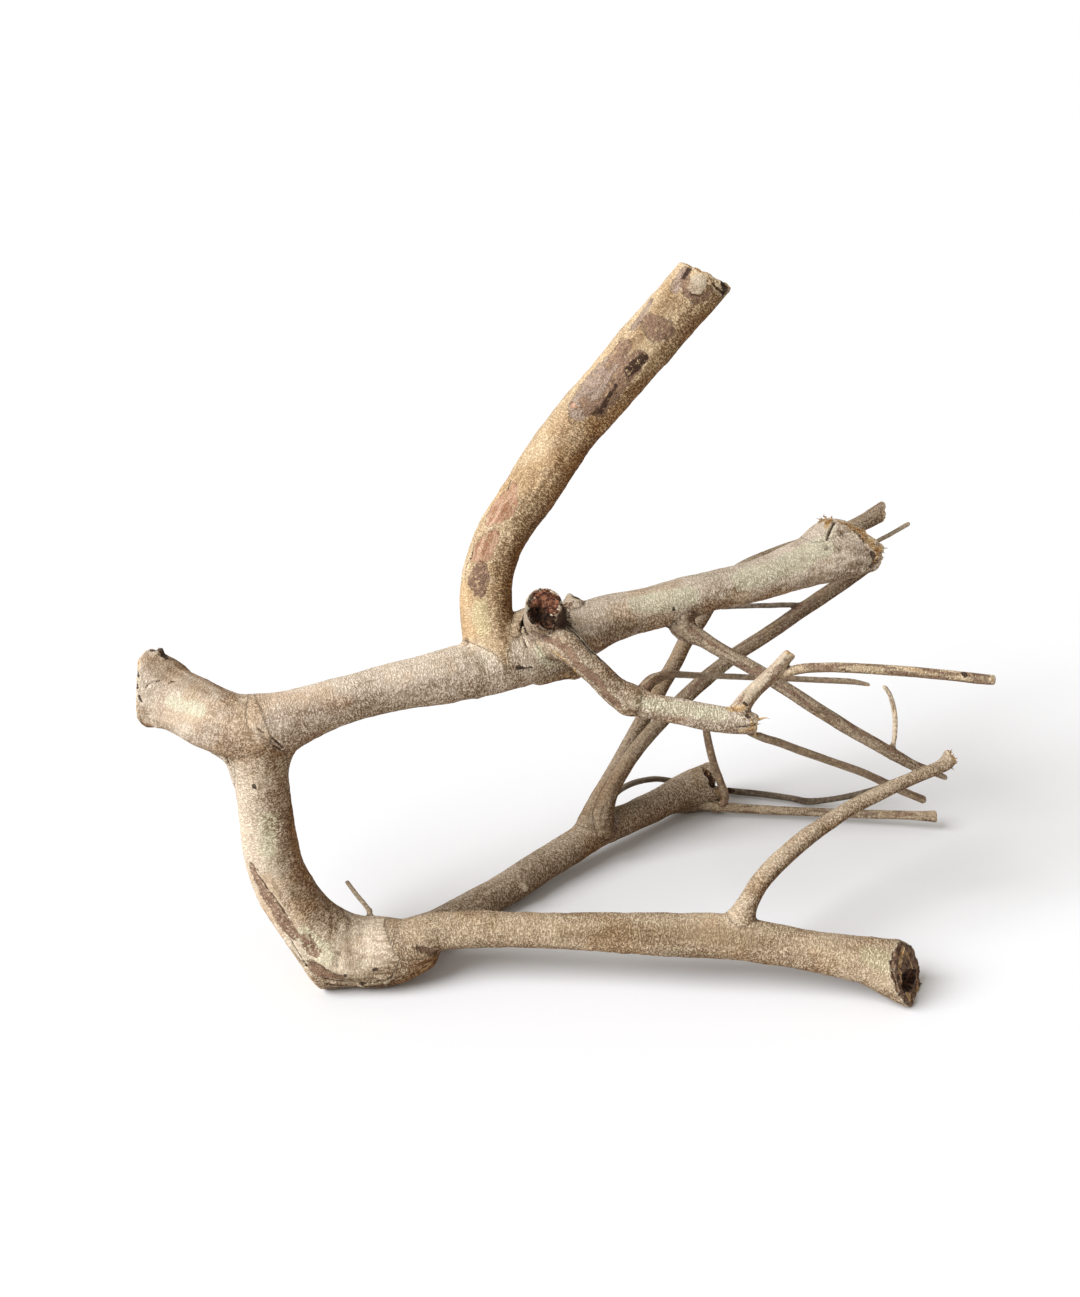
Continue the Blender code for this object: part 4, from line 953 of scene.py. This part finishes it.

# Dents and creases get painted shade and ridges are rubbed pale; sides facing the painted light's way are painted pale
# and the others painted ochre shade.
cavity_shade = ((relaxed(points, quads, 14, 0.5) - points) * normals).sum(1)
narrow = ((relaxed(points, quads, 3, 0.5) - points) * normals).sum(1)
painted_light_shade = normals @ (np.array(PAINTED_LIGHT_WAY) / np.linalg.norm(PAINTED_LIGHT_WAY)) + 0.22 * rough(points, 16.0, 3, 91)

# ----------------------------------------------------------------- material
def srgb(text):
    """A hex colour as linear light."""
    c = np.array([int(text[k:k + 2], 16) / 255 for k in (0, 2, 4)])
    c = np.where(c <= 0.04045, c / 12.92, ((c + 0.055) / 1.055) ** 2.4)
    return (float(c[0]), float(c[1]), float(c[2]), 1.0)


class Graph:
    def __init__(self, material):
        material.use_nodes = True
        self.tree = material.node_tree
        self.shader = self.tree.nodes["Principled BSDF"]

    def put(self, socket, value):
        if isinstance(value, bpy.types.NodeSocket):
            self.tree.links.new(value, socket)
        else:
            socket.default_value = value

    def node(self, kind, inputs=(), **settings):
        n = self.tree.nodes.new("ShaderNode" + kind)
        for key, value in settings.items():
            setattr(n, key, value)
        for key, value in dict(inputs).items():
            self.put(n.inputs[key], value)
        return n

    def attribute(self, name, output="Fac"):
        return self.node("Attribute", attribute_name=name).outputs[output]

    def noise(self, vector, scale, detail=2.0, rough=0.5, distort=0.0, out="Fac"):
        return self.node("TexNoise", {"Vector": vector, "Scale": scale, "Detail": detail, "Roughness": rough,
                                      "Distortion": distort}).outputs[out]

    def math(self, operation, a, b=0.0, c=0.0, clamp=False):
        return self.node("Math", {0: a, 1: b, 2: c}, operation=operation, use_clamp=clamp).outputs[0]

    def add(self, a, b):
        return self.math("ADD", a, b)

    def times(self, a, b):
        return self.math("MULTIPLY", a, b)

    def step(self, value, low, high, to_low=0.0, to_high=1.0):
        """A smooth step from to_low at low to to_high at high; low may be the larger."""
        if low > high:
            low, high, to_low, to_high = high, low, to_high, to_low
        return self.node("MapRange", {"Value": value, "From Min": low, "From Max": high, "To Min": to_low,
                                      "To Max": to_high}, interpolation_type="SMOOTHSTEP").outputs["Result"]

    def mix(self, factor, a, b, blend="MIX"):
        n = self.node("Mix", data_type="RGBA", blend_type=blend)
        self.put(n.inputs[0], factor)
        self.put(n.inputs[6], a)
        self.put(n.inputs[7], b)
        return n.outputs[2]


bark = bpy.data.materials.new("bark")
g = Graph(bark)
at = g.node("TexCoord").outputs["Object"]
flow_at = g.attribute("grain", "Vector")
long_flow = g.node("VectorMath", {0: flow_at, 1: (0.25, 1.0, 1.0)}, operation="MULTIPLY").outputs[0]

ring_flow = g.node("VectorMath", {0: flow_at, 1: (1.0, 0.42, 0.42)}, operation="MULTIPLY").outputs[0]

broad = g.noise(at, 30, 3.0, 0.6)
middle = g.noise(at, 130, 3.0, 0.65)
blot = g.noise(at, 560, 2.0, 0.6)
streak = g.noise(long_flow, 260, 3.0, 0.65)
fine = g.noise(at, 1120, 2.0, 0.65)
finest = g.noise(at, 2100, 1.0, 0.6)
wrinkle = g.noise(ring_flow, 1250, 2.0, 0.6, 0.3)


def scaled(colour, factor):
    return g.node("VectorMath", {0: colour, "Scale": factor}, operation="SCALE").outputs[0]


# Bark: painted shade in ochre on the sides facing away from the light, painted light in
# pinkish cream on the sides facing it, with warm, olive and mauve places.
painted_light_shade_level = g.add(g.attribute("painted_light_shade"), g.times(g.math("SUBTRACT", middle, 0.5), 0.36))
tan = g.mix(g.step(painted_light_shade_level, 0.08, 0.84), srgb("815824"), srgb("E6D9C8"))
tan = g.mix(g.step(broad, 0.50, 0.64, 0.0, 0.34), tan, srgb("C09661"))
tan = g.mix(g.step(broad, 0.46, 0.34, 0.0, 0.30), tan, srgb("C9C4AC"))
tan = g.mix(g.step(streak, 0.50, 0.70, 0.0, 0.34), tan, srgb("805D37"))
tan = g.mix(g.step(streak, 0.46, 0.30, 0.0, 0.26), tan, srgb("E2D4BA"))
tan = g.mix(g.times(g.step(g.attribute("tint"), 0.25, 0.85), 0.32), tan, srgb("A08576"))
tan = g.mix(g.times(g.step(g.add(g.attribute("pale"), g.times(g.math("SUBTRACT", blot, 0.5), 0.5)), 0.40, 0.60), 0.85), tan, srgb("E2DEC6"))
tan = g.mix(g.times(g.step(g.attribute("grey"), 0.3, 0.85), 0.45), tan, srgb("8B7150"))
tan = g.mix(g.times(g.attribute("dusk"), 0.72), tan, srgb("7A6140"))
tan = g.mix(g.times(g.attribute("warm"), 0.9), tan, (1.0, 0.85, 0.60, 1.0), "MULTIPLY")

# Granules and wrinkles: dark pits and pale grains, stronger on the painted-shade
# side; the pits are a darker copy there and a paler copy on the painted-light side.
strength = g.math("MAXIMUM", g.step(painted_light_shade_level, 0.40, 0.95, 1.05, 0.55), g.times(g.attribute("tint"), 0.95))
strength = g.times(strength, g.attribute("grit"))
lit = g.step(painted_light_shade_level, 0.30, 0.90)
pit = g.math("MAXIMUM", g.step(fine, 0.48, 0.59), g.times(g.step(wrinkle, 0.48, 0.59), 0.9))
pit = g.math("MULTIPLY", pit, strength, clamp=True)
light = g.math("MULTIPLY", g.step(finest, 0.52, 0.38), g.times(strength, 0.8), clamp=True)
pits = g.mix(1.0, tan, g.mix(lit, (0.33, 0.235, 0.150, 1.0), (0.43, 0.365, 0.295, 1.0)), "MULTIPLY")
tops = g.mix(1.0, tan, (1.50, 1.49, 1.46, 1.0), "MULTIPLY")
tan = g.mix(g.times(g.step(blot, 0.55, 0.70), 0.25), tan, pits)
tan = g.mix(light, g.mix(0.20, tan, tops), tops)
tan = g.mix(pit, tan, pits)

# Ragged edges for the marks.
edge = g.add(g.times(g.math("SUBTRACT", g.noise(at, 420, 4.0, 0.75), 0.5), 0.42),
             g.times(g.math("SUBTRACT", fine, 0.5), 0.30))


def marked(name, low=0.47, high=0.55):
    return g.step(g.add(g.attribute(name), edge), low, high)


worn = g.mix(g.step(g.noise(at, 190, 4.0, 0.75), 0.38, 0.64), srgb("5E4535"), srgb("A18773"))
# A lighter copy of the worn layer on the painted-light side.
worn = g.mix(g.times(lit, 0.60), worn, srgb("C7B09E"))
worn = g.mix(g.step(g.noise(long_flow, 420, 3.0, 0.7), 0.50, 0.66, 0.0, 0.7), worn, srgb("6B4F3C"))
worn = g.mix(g.step(fine, 0.52, 0.62, 0.0, 0.65), worn, srgb("47321F"))
worn = g.mix(g.step(finest, 0.43, 0.34, 0.0, 0.55), worn, srgb("D0BDA8"))
worn = g.mix(g.step(blot, 0.57, 0.66, 0.0, 0.8), worn, tan)
colour = g.mix(marked("worn"), tan, worn)
brown = g.mix(g.step(g.noise(at, 170, 3.0, 0.7), 0.40, 0.62), srgb("66472F"), srgb("94735B"))
# A lighter copy of the brown layer on the painted-light side.
brown = g.mix(g.times(lit, 0.35), brown, srgb("A88B78"))
brown = g.mix(g.step(fine, 0.52, 0.62, 0.0, 0.75), brown, srgb("38261B"))
brown = g.mix(g.step(finest, 0.44, 0.35, 0.0, 0.60), brown, srgb("C3A88C"))
brown = g.mix(g.step(blot, 0.55, 0.62, 0.0, 0.9), brown, tan)
colour = g.mix(marked("brown"), colour, brown)
peach = g.mix(g.step(g.noise(long_flow, 380, 3.0, 0.6), 0.38, 0.62), srgb("A87A5C"), srgb("D8AF93"))
peach = g.mix(g.step(fine, 0.53, 0.63, 0.0, 0.65), peach, srgb("714B36"))
peach = g.mix(g.step(blot, 0.54, 0.62, 0.0, 0.8), peach, tan)
colour = g.mix(marked("peach"), colour, peach)
choc = g.mix(g.step(fine, 0.52, 0.40, 0.0, 0.5), srgb("35231A"), srgb("5E4534"))
choc = g.mix(g.step(blot, 0.60, 0.66, 0.0, 0.9), choc, tan)
colour = g.mix(g.times(marked("choc", 0.44, 0.58), 0.92), colour, choc)
peeled = g.mix(g.step(g.noise(long_flow, 360, 3.0, 0.65), 0.38, 0.62), srgb("5E4232"), srgb("9A7A60"))
peeled = g.mix(g.step(fine, 0.52, 0.64, 0.0, 0.7), peeled, srgb("2E1D12"))
colour = g.mix(marked("peeled"), colour, peeled)
scar = g.mix(g.step(middle, 0.35, 0.65), srgb("BDA68A"), srgb("D6C4AA"))
colour = g.mix(marked("scar"), colour, scaled(scar, g.step(fine, 0.3, 0.7, 1.1, 0.85)))
for name, much in (("worn", 0.45), ("brown", 0.55), ("peach", 0.50), ("peeled", 0.75), ("scar", 0.5)):
    away = g.math("ABSOLUTE", g.math("SUBTRACT", g.add(g.attribute(name), edge), 0.49))
    colour = g.mix(g.step(away, 0.05, 0.0, 0.0, much), colour, srgb("4E3625"))
raw = g.mix(g.step(g.noise(long_flow, 520, 3.0, 0.7), 0.40, 0.60), srgb("A3743F"), srgb("DDBE90"))
raw = g.mix(g.step(finest, 0.54, 0.66, 0.0, 0.65), raw, srgb("5C3C22"))
colour = g.mix(marked("torn", 0.44, 0.54), colour, raw)
# Painted shade in the dents and creases, rubbed ridges paler.
colour = g.mix(g.step(g.attribute("cavity_shade"), 0.55, 0.90, 0.0, 0.75), colour, srgb("4A3420"))
colour = g.mix(g.step(g.attribute("crease_shade_ridge_wear"), 0.56, 0.92, 0.0, 0.65), colour, srgb("3E2A1A"))
colour = g.mix(g.step(g.attribute("crease_shade_ridge_wear"), 0.42, 0.10, 0.0, 0.35), colour, srgb("E9DBBE"))
# Hollows are painted near black: painted shade inside them.
deep = g.mix(g.step(g.noise(at, 380, 3.0, 0.7), 0.44, 0.66), srgb("22150D"), srgb("6B4730"))
colour = g.mix(marked("hollow"), colour, deep)
core = g.mix(g.step(g.noise(long_flow, 420, 3.0, 0.7), 0.40, 0.62), srgb("4E2A1D"), srgb("94644A"))
core = g.mix(g.step(g.noise(at, 620, 3.0, 0.65), 0.52, 0.60, 0.0, 0.85), core, srgb("1E120C"))
colour = g.mix(marked("core"), colour, core)
# Dark knots and specks, and painted shade along the cracks.
knot_dark_and_crack_shade = g.mix(g.step(fine, 0.46, 0.36, 0.0, 0.6), srgb("2A1C13"), srgb("6A5038"))
colour = g.mix(g.times(marked("dark"), 0.9), colour, knot_dark_and_crack_shade)
g.put(g.shader.inputs["Base Color"], colour)
g.shader.inputs["Specular IOR Level"].default_value = 0.2
g.put(g.shader.inputs["Roughness"], g.step(g.add(g.attribute("worn"), edge), 0.48, 0.53, 0.9, 0.66))

height = g.add(g.times(g.step(fine, 0.35, 0.62), -0.8), g.times(finest, -0.6))
height = g.add(height, g.times(g.noise(long_flow, 520, 3.0, 0.6), 0.8))
height = g.add(height, g.times(g.step(wrinkle, 0.34, 0.64), -1.0))
height = g.add(height, g.times(blot, 0.6))
height = g.times(height, g.attribute("grit"))
bump = g.node("Bump", {"Strength": 1.0, "Distance": 0.00030, "Height": height})
g.put(g.shader.inputs["Normal"], bump.outputs["Normal"])


# ------------------------------------------------------------------- meshes
def value_of(distance, soft=4.0):
    """0.5 at the edge of a mark, more inside it."""
    return np.clip(0.5 - distance / (2 * soft), 0, 1)


layers = {kind: value_of(marks[kind], 4.0 if kind in ("worn", "brown", "peach", "tint", "pale", "grey") else 2.0)
          for kind in marks if kind != "bark"}
dusk = spread(np.array([DUSK.get(n, 0.0) for n in names])[owner], quads, 12)
layers["dusk"] = np.clip(dusk, 0, 1)
layers["warm"] = np.clip(spread(np.array([WARM.get(n, 0.12) for n in names])[owner], quads, 20), 0, 1)
layers["grit"] = np.clip(spread(np.array([GRIT.get(n, 1.1) for n in names])[owner], quads, 12) + 0.35 * rough(points, 30.0, 2, 93), 0.5, 2.2)
paler = spread(np.array([PALER.get(n, 0.0) for n in names])[owner], quads, 20)
# Painted light and shade by which way the bark faces, shifted per limb.
layers["painted_light_shade"] = np.clip(0.5 + 0.5 * painted_light_shade + paler, 0, 1)
# Painted shade in dents and creases; ridges rubbed paler.
layers["cavity_shade"] = np.clip(0.5 + 0.55 * cavity_shade, 0, 1)
layers["crease_shade_ridge_wear"] = np.clip(0.5 + 3.0 * narrow, 0, 1)
rotten = np.array([0.62 if n in ("arc_twig", "stray") else 0.0 for n in names])[owner]
layers["choc"] = np.maximum(layers["choc"], spread(rotten, quads, 6))


def new_piece(name, verts, faces, values, flows=None, vertex_normals=None):
    mesh = bpy.data.meshes.new(name)
    mesh.from_pydata(verts / 1000, [], faces)
    mesh.materials.append(bark)
    mesh.shade_smooth()
    for key, data in values.items():
        mesh.attributes.new(key, "FLOAT", "POINT").data.foreach_set("value", np.ascontiguousarray(data, np.float32))
    if flows is not None:
        mesh.attributes.new("grain", "FLOAT_VECTOR", "POINT").data.foreach_set(
            "vector", np.ascontiguousarray(flows / 1000, np.float32).ravel())
    if vertex_normals is not None:
        mesh.normals_split_custom_set_from_vertices(vertex_normals)
    mesh.update()
    obj = bpy.data.objects.new(name, mesh)
    bpy.context.scene.collection.objects.link(obj)
    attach(obj, "root")
    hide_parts("talawa_wood")
    return obj


group_of_owner = np.array([GROWTH[n][1] if n in LIMBS else TWIG_GROUPS.get(n, 4) for n in names])
belongs = group_of_owner[owner]
votes = np.stack([spread((belongs == g).astype(float), quads, 8) for g in range(len(GROUP_NAMES))], 1)
belongs = votes.argmax(1)
quad_group = belongs[quads[:, 0]]


def capped(faces):
    """The open rims of a patch as loops of edges, for fans that dip inside the wood."""
    edges = np.concatenate([faces[:, [k, (k + 1) % 4]] for k in range(4)])
    keys = {}
    there = set(map(tuple, edges.tolist()))
    rim = [e for e in there if (e[1], e[0]) not in there]
    parent = {}

    def top(x):
        while parent[x] != x:
            parent[x] = parent[parent[x]]
            x = parent[x]
        return x

    for a, b in rim:
        parent.setdefault(a, a)
        parent.setdefault(b, b)
    for a, b in rim:
        parent[top(a)] = top(b)
    loops = {}
    for a, b in sorted(rim):
        loops.setdefault(top(a), []).append((a, b))
    return list(loops.values())


flow = grain.copy()
for g, name in enumerate(GROUP_NAMES):
    faces = quads[quad_group == g]
    used = np.unique(faces)
    index = np.full(len(points), -1)
    index[used] = np.arange(len(used))
    verts, vn = [points[used]], [normals[used]]
    extra, fans = [], []
    for loop in capped(faces):
        a = np.array([e[0] for e in loop])
        middle = points[a].mean(0) - normals[a].mean(0) * 0.5
        extra.append(middle)
        centre = len(used) + len(extra) - 1
        fans += [(index[q], index[p], centre) for p, q in loop]
    if extra:
        verts.append(np.array(extra))
        vn.append(np.tile((0.0, 0.0, 1.0), (len(extra), 1)))
    n = len(extra)
    data = {k: np.r_[v[used], np.zeros(n)] for k, v in layers.items()}
    everything = [tuple(f) for f in index[faces].tolist()] + fans
    new_piece(name, np.vstack(verts), everything, data, np.r_[flow[used], np.zeros((n, 3))], np.vstack(vn))

# Splinters and fibres at the torn ends: (across, down, depth), way, length,
# width and thickness in millimetres, and how far it bends.
def shard(base, w, length, width, thin, bend, rng):
    """Rings of a tapering splinter that stands in the wood at base."""
    u = np.cross(w, (0.3, 0.8, 0.5))
    u /= np.linalg.norm(u)
    v = np.cross(w, u)
    turn = rng.uniform(0, math.pi)
    u, v = u * math.cos(turn) + v * math.sin(turn), v * math.cos(turn) - u * math.sin(turn)
    rings, sides = (9, 7) if length > 2.5 else (6, 5)
    rows = []
    for r in range(rings):
        t = r / (rings - 1)
        fat = ((1 - t ** 1.6) * 0.92 + 0.08) * (1 + 0.16 * rng.standard_normal())
        middle = base + w * length * (t - 0.15) + v * bend * t * t + u * 0.12 * rng.standard_normal() * width
        angle = np.linspace(0, 2 * math.pi, sides, endpoint=False) + 0.3 * rng.standard_normal(sides)
        rows.append(middle + np.outer(np.cos(angle) * width / 2 * fat, u) + np.outer(np.sin(angle) * thin / 2 * fat, v))
    return np.array(rows)


shards = []
for station, look, length, width, thin, bend, seed in SPLINTERS:
    shards.append((shard(station_point((*station, 0)), direction(look), length, width, thin, bend,
                         np.random.default_rng(seed)), "torn", 0.1))
for row, count, look, differ, short, long_, slim, broad_, mark, seed in FRINGES:
    rng = np.random.default_rng(seed)
    row = np.array(row, float)
    span = np.r_[0, np.cumsum(np.linalg.norm(np.diff(row, axis=0), axis=1))]
    for _ in range(count):
        s = rng.uniform(0, span[-1])
        u, v = np.interp(s, span, row[:, 0]), np.interp(s, span, row[:, 1])
        base = hit(u + rng.normal(0, 0.5), v + rng.normal(0, 0.5))
        way = direction(look) + differ * rng.standard_normal(3)
        way /= np.linalg.norm(way)
        length, width = rng.uniform(short, long_), rng.uniform(slim, broad_)
        shards.append((shard(base, way, length, width, width * rng.uniform(0.4, 0.8), 0.2 * rng.standard_normal(), rng),
                       mark, rng.uniform(0, 0.9) ** 2))
verts, faces, count = [], [], 0
data = {k: [] for k in layers}
for rows, mark, dull in shards:
    rings, sides = rows.shape[:2]
    verts.append(rows.reshape(-1, 3))
    for r in range(rings - 1):
        for s in range(sides):
            a, b = count + r * sides + s, count + r * sides + (s + 1) % sides
            faces.append((a, b, b + sides, a + sides))
    faces.append(tuple(count + s for s in reversed(range(sides))))
    faces.append(tuple(count + (rings - 1) * sides + s for s in range(sides)))
    count += rings * sides
    for k in data:
        value = {mark: 1.0, "painted_light_shade": 0.6 - 0.3 * dull, "grit": 1.2, "cavity_shade": 0.5, "crease_shade_ridge_wear": 0.5 + 0.35 * dull}.get(k, 0.0)
        data[k].append(np.full(rings * sides, value))
verts = np.clip(np.vstack(verts), low_mm, high_mm)
flows = np.stack([verts[:, 0] * 0.2 + 300, verts[:, 1], verts[:, 2]], 1)
new_piece("splinters", verts, faces, {k: np.concatenate(v) for k, v in data.items()}, flows)

# -------------------------------------------------------------------- stage
floor_mesh = bpy.data.meshes.new("floor")
floor_mesh.from_pydata([(-20, -20, 0), (20, -20, 0), (20, 20, 0), (-20, 20, 0)], [], [(0, 1, 2, 3)])
floor = bpy.data.objects.new("floor", floor_mesh)
bpy.context.scene.collection.objects.link(floor)
floor_mat = bpy.data.materials.new("floor_pale")
floor_mat.use_nodes = True
fs = floor_mat.node_tree.nodes["Principled BSDF"]
fs.inputs["Base Color"].default_value = (0.80, 0.80, 0.80, 1)
fs.inputs["Roughness"].default_value = 0.9
floor_mesh.materials.append(floor_mat)

scene = bpy.context.scene
world = bpy.data.worlds.new("studio")
scene.world = world
world.use_nodes = True
background = world.node_tree.nodes.get("Background") or world.node_tree.nodes.new("ShaderNodeBackground")
background.inputs["Color"].default_value = (1.0, 0.945, 0.875, 1)
background.inputs["Strength"].default_value = 0.47
# The eye sees the far wall white, and the wood gets its softer light.
nodes, links = world.node_tree.nodes, world.node_tree.links
seen = nodes.new("ShaderNodeBackground")
seen.inputs["Color"].default_value = (1, 1, 1, 1)
seen.inputs["Strength"].default_value = 1.0
rays = nodes.new("ShaderNodeLightPath")
choice = nodes.new("ShaderNodeMixShader")
links.new(rays.outputs["Is Camera Ray"], choice.inputs["Fac"])
links.new(background.outputs["Background"], choice.inputs[1])
links.new(seen.outputs["Background"], choice.inputs[2])
out = nodes.get("World Output") or nodes.new("ShaderNodeOutputWorld")
links.new(choice.outputs["Shader"], out.inputs["Surface"])


def soft_sun(name, way, power, angle, colour=(1, 1, 1)):
    """Light that comes evenly from one side of the room."""
    data = bpy.data.lights.new(name, "SUN")
    data.energy = power
    data.angle = math.radians(angle)
    data.color = colour
    lamp = bpy.data.objects.new(name, data)
    scene.collection.objects.link(lamp)
    lamp.rotation_euler = (-Vector(way)).to_track_quat("-Z", "Y").to_euler()
    return lamp


soft_sun("key", (-0.85, -0.40, 0.80), 4.15, 40, (0.965, 0.985, 1.03))

eye = bpy.data.cameras.new("eye")
eye.lens = 49.983
eye.sensor_width = 36.0
eye.clip_end = 60
camera = bpy.data.objects.new("eye", eye)
scene.collection.objects.link(camera)
camera.location = (-0.01882, -0.86175, 0.59495)
camera.rotation_euler = (math.radians(63.0), 0, 0)
scene.camera = camera
scene.view_settings.view_transform = "Standard"
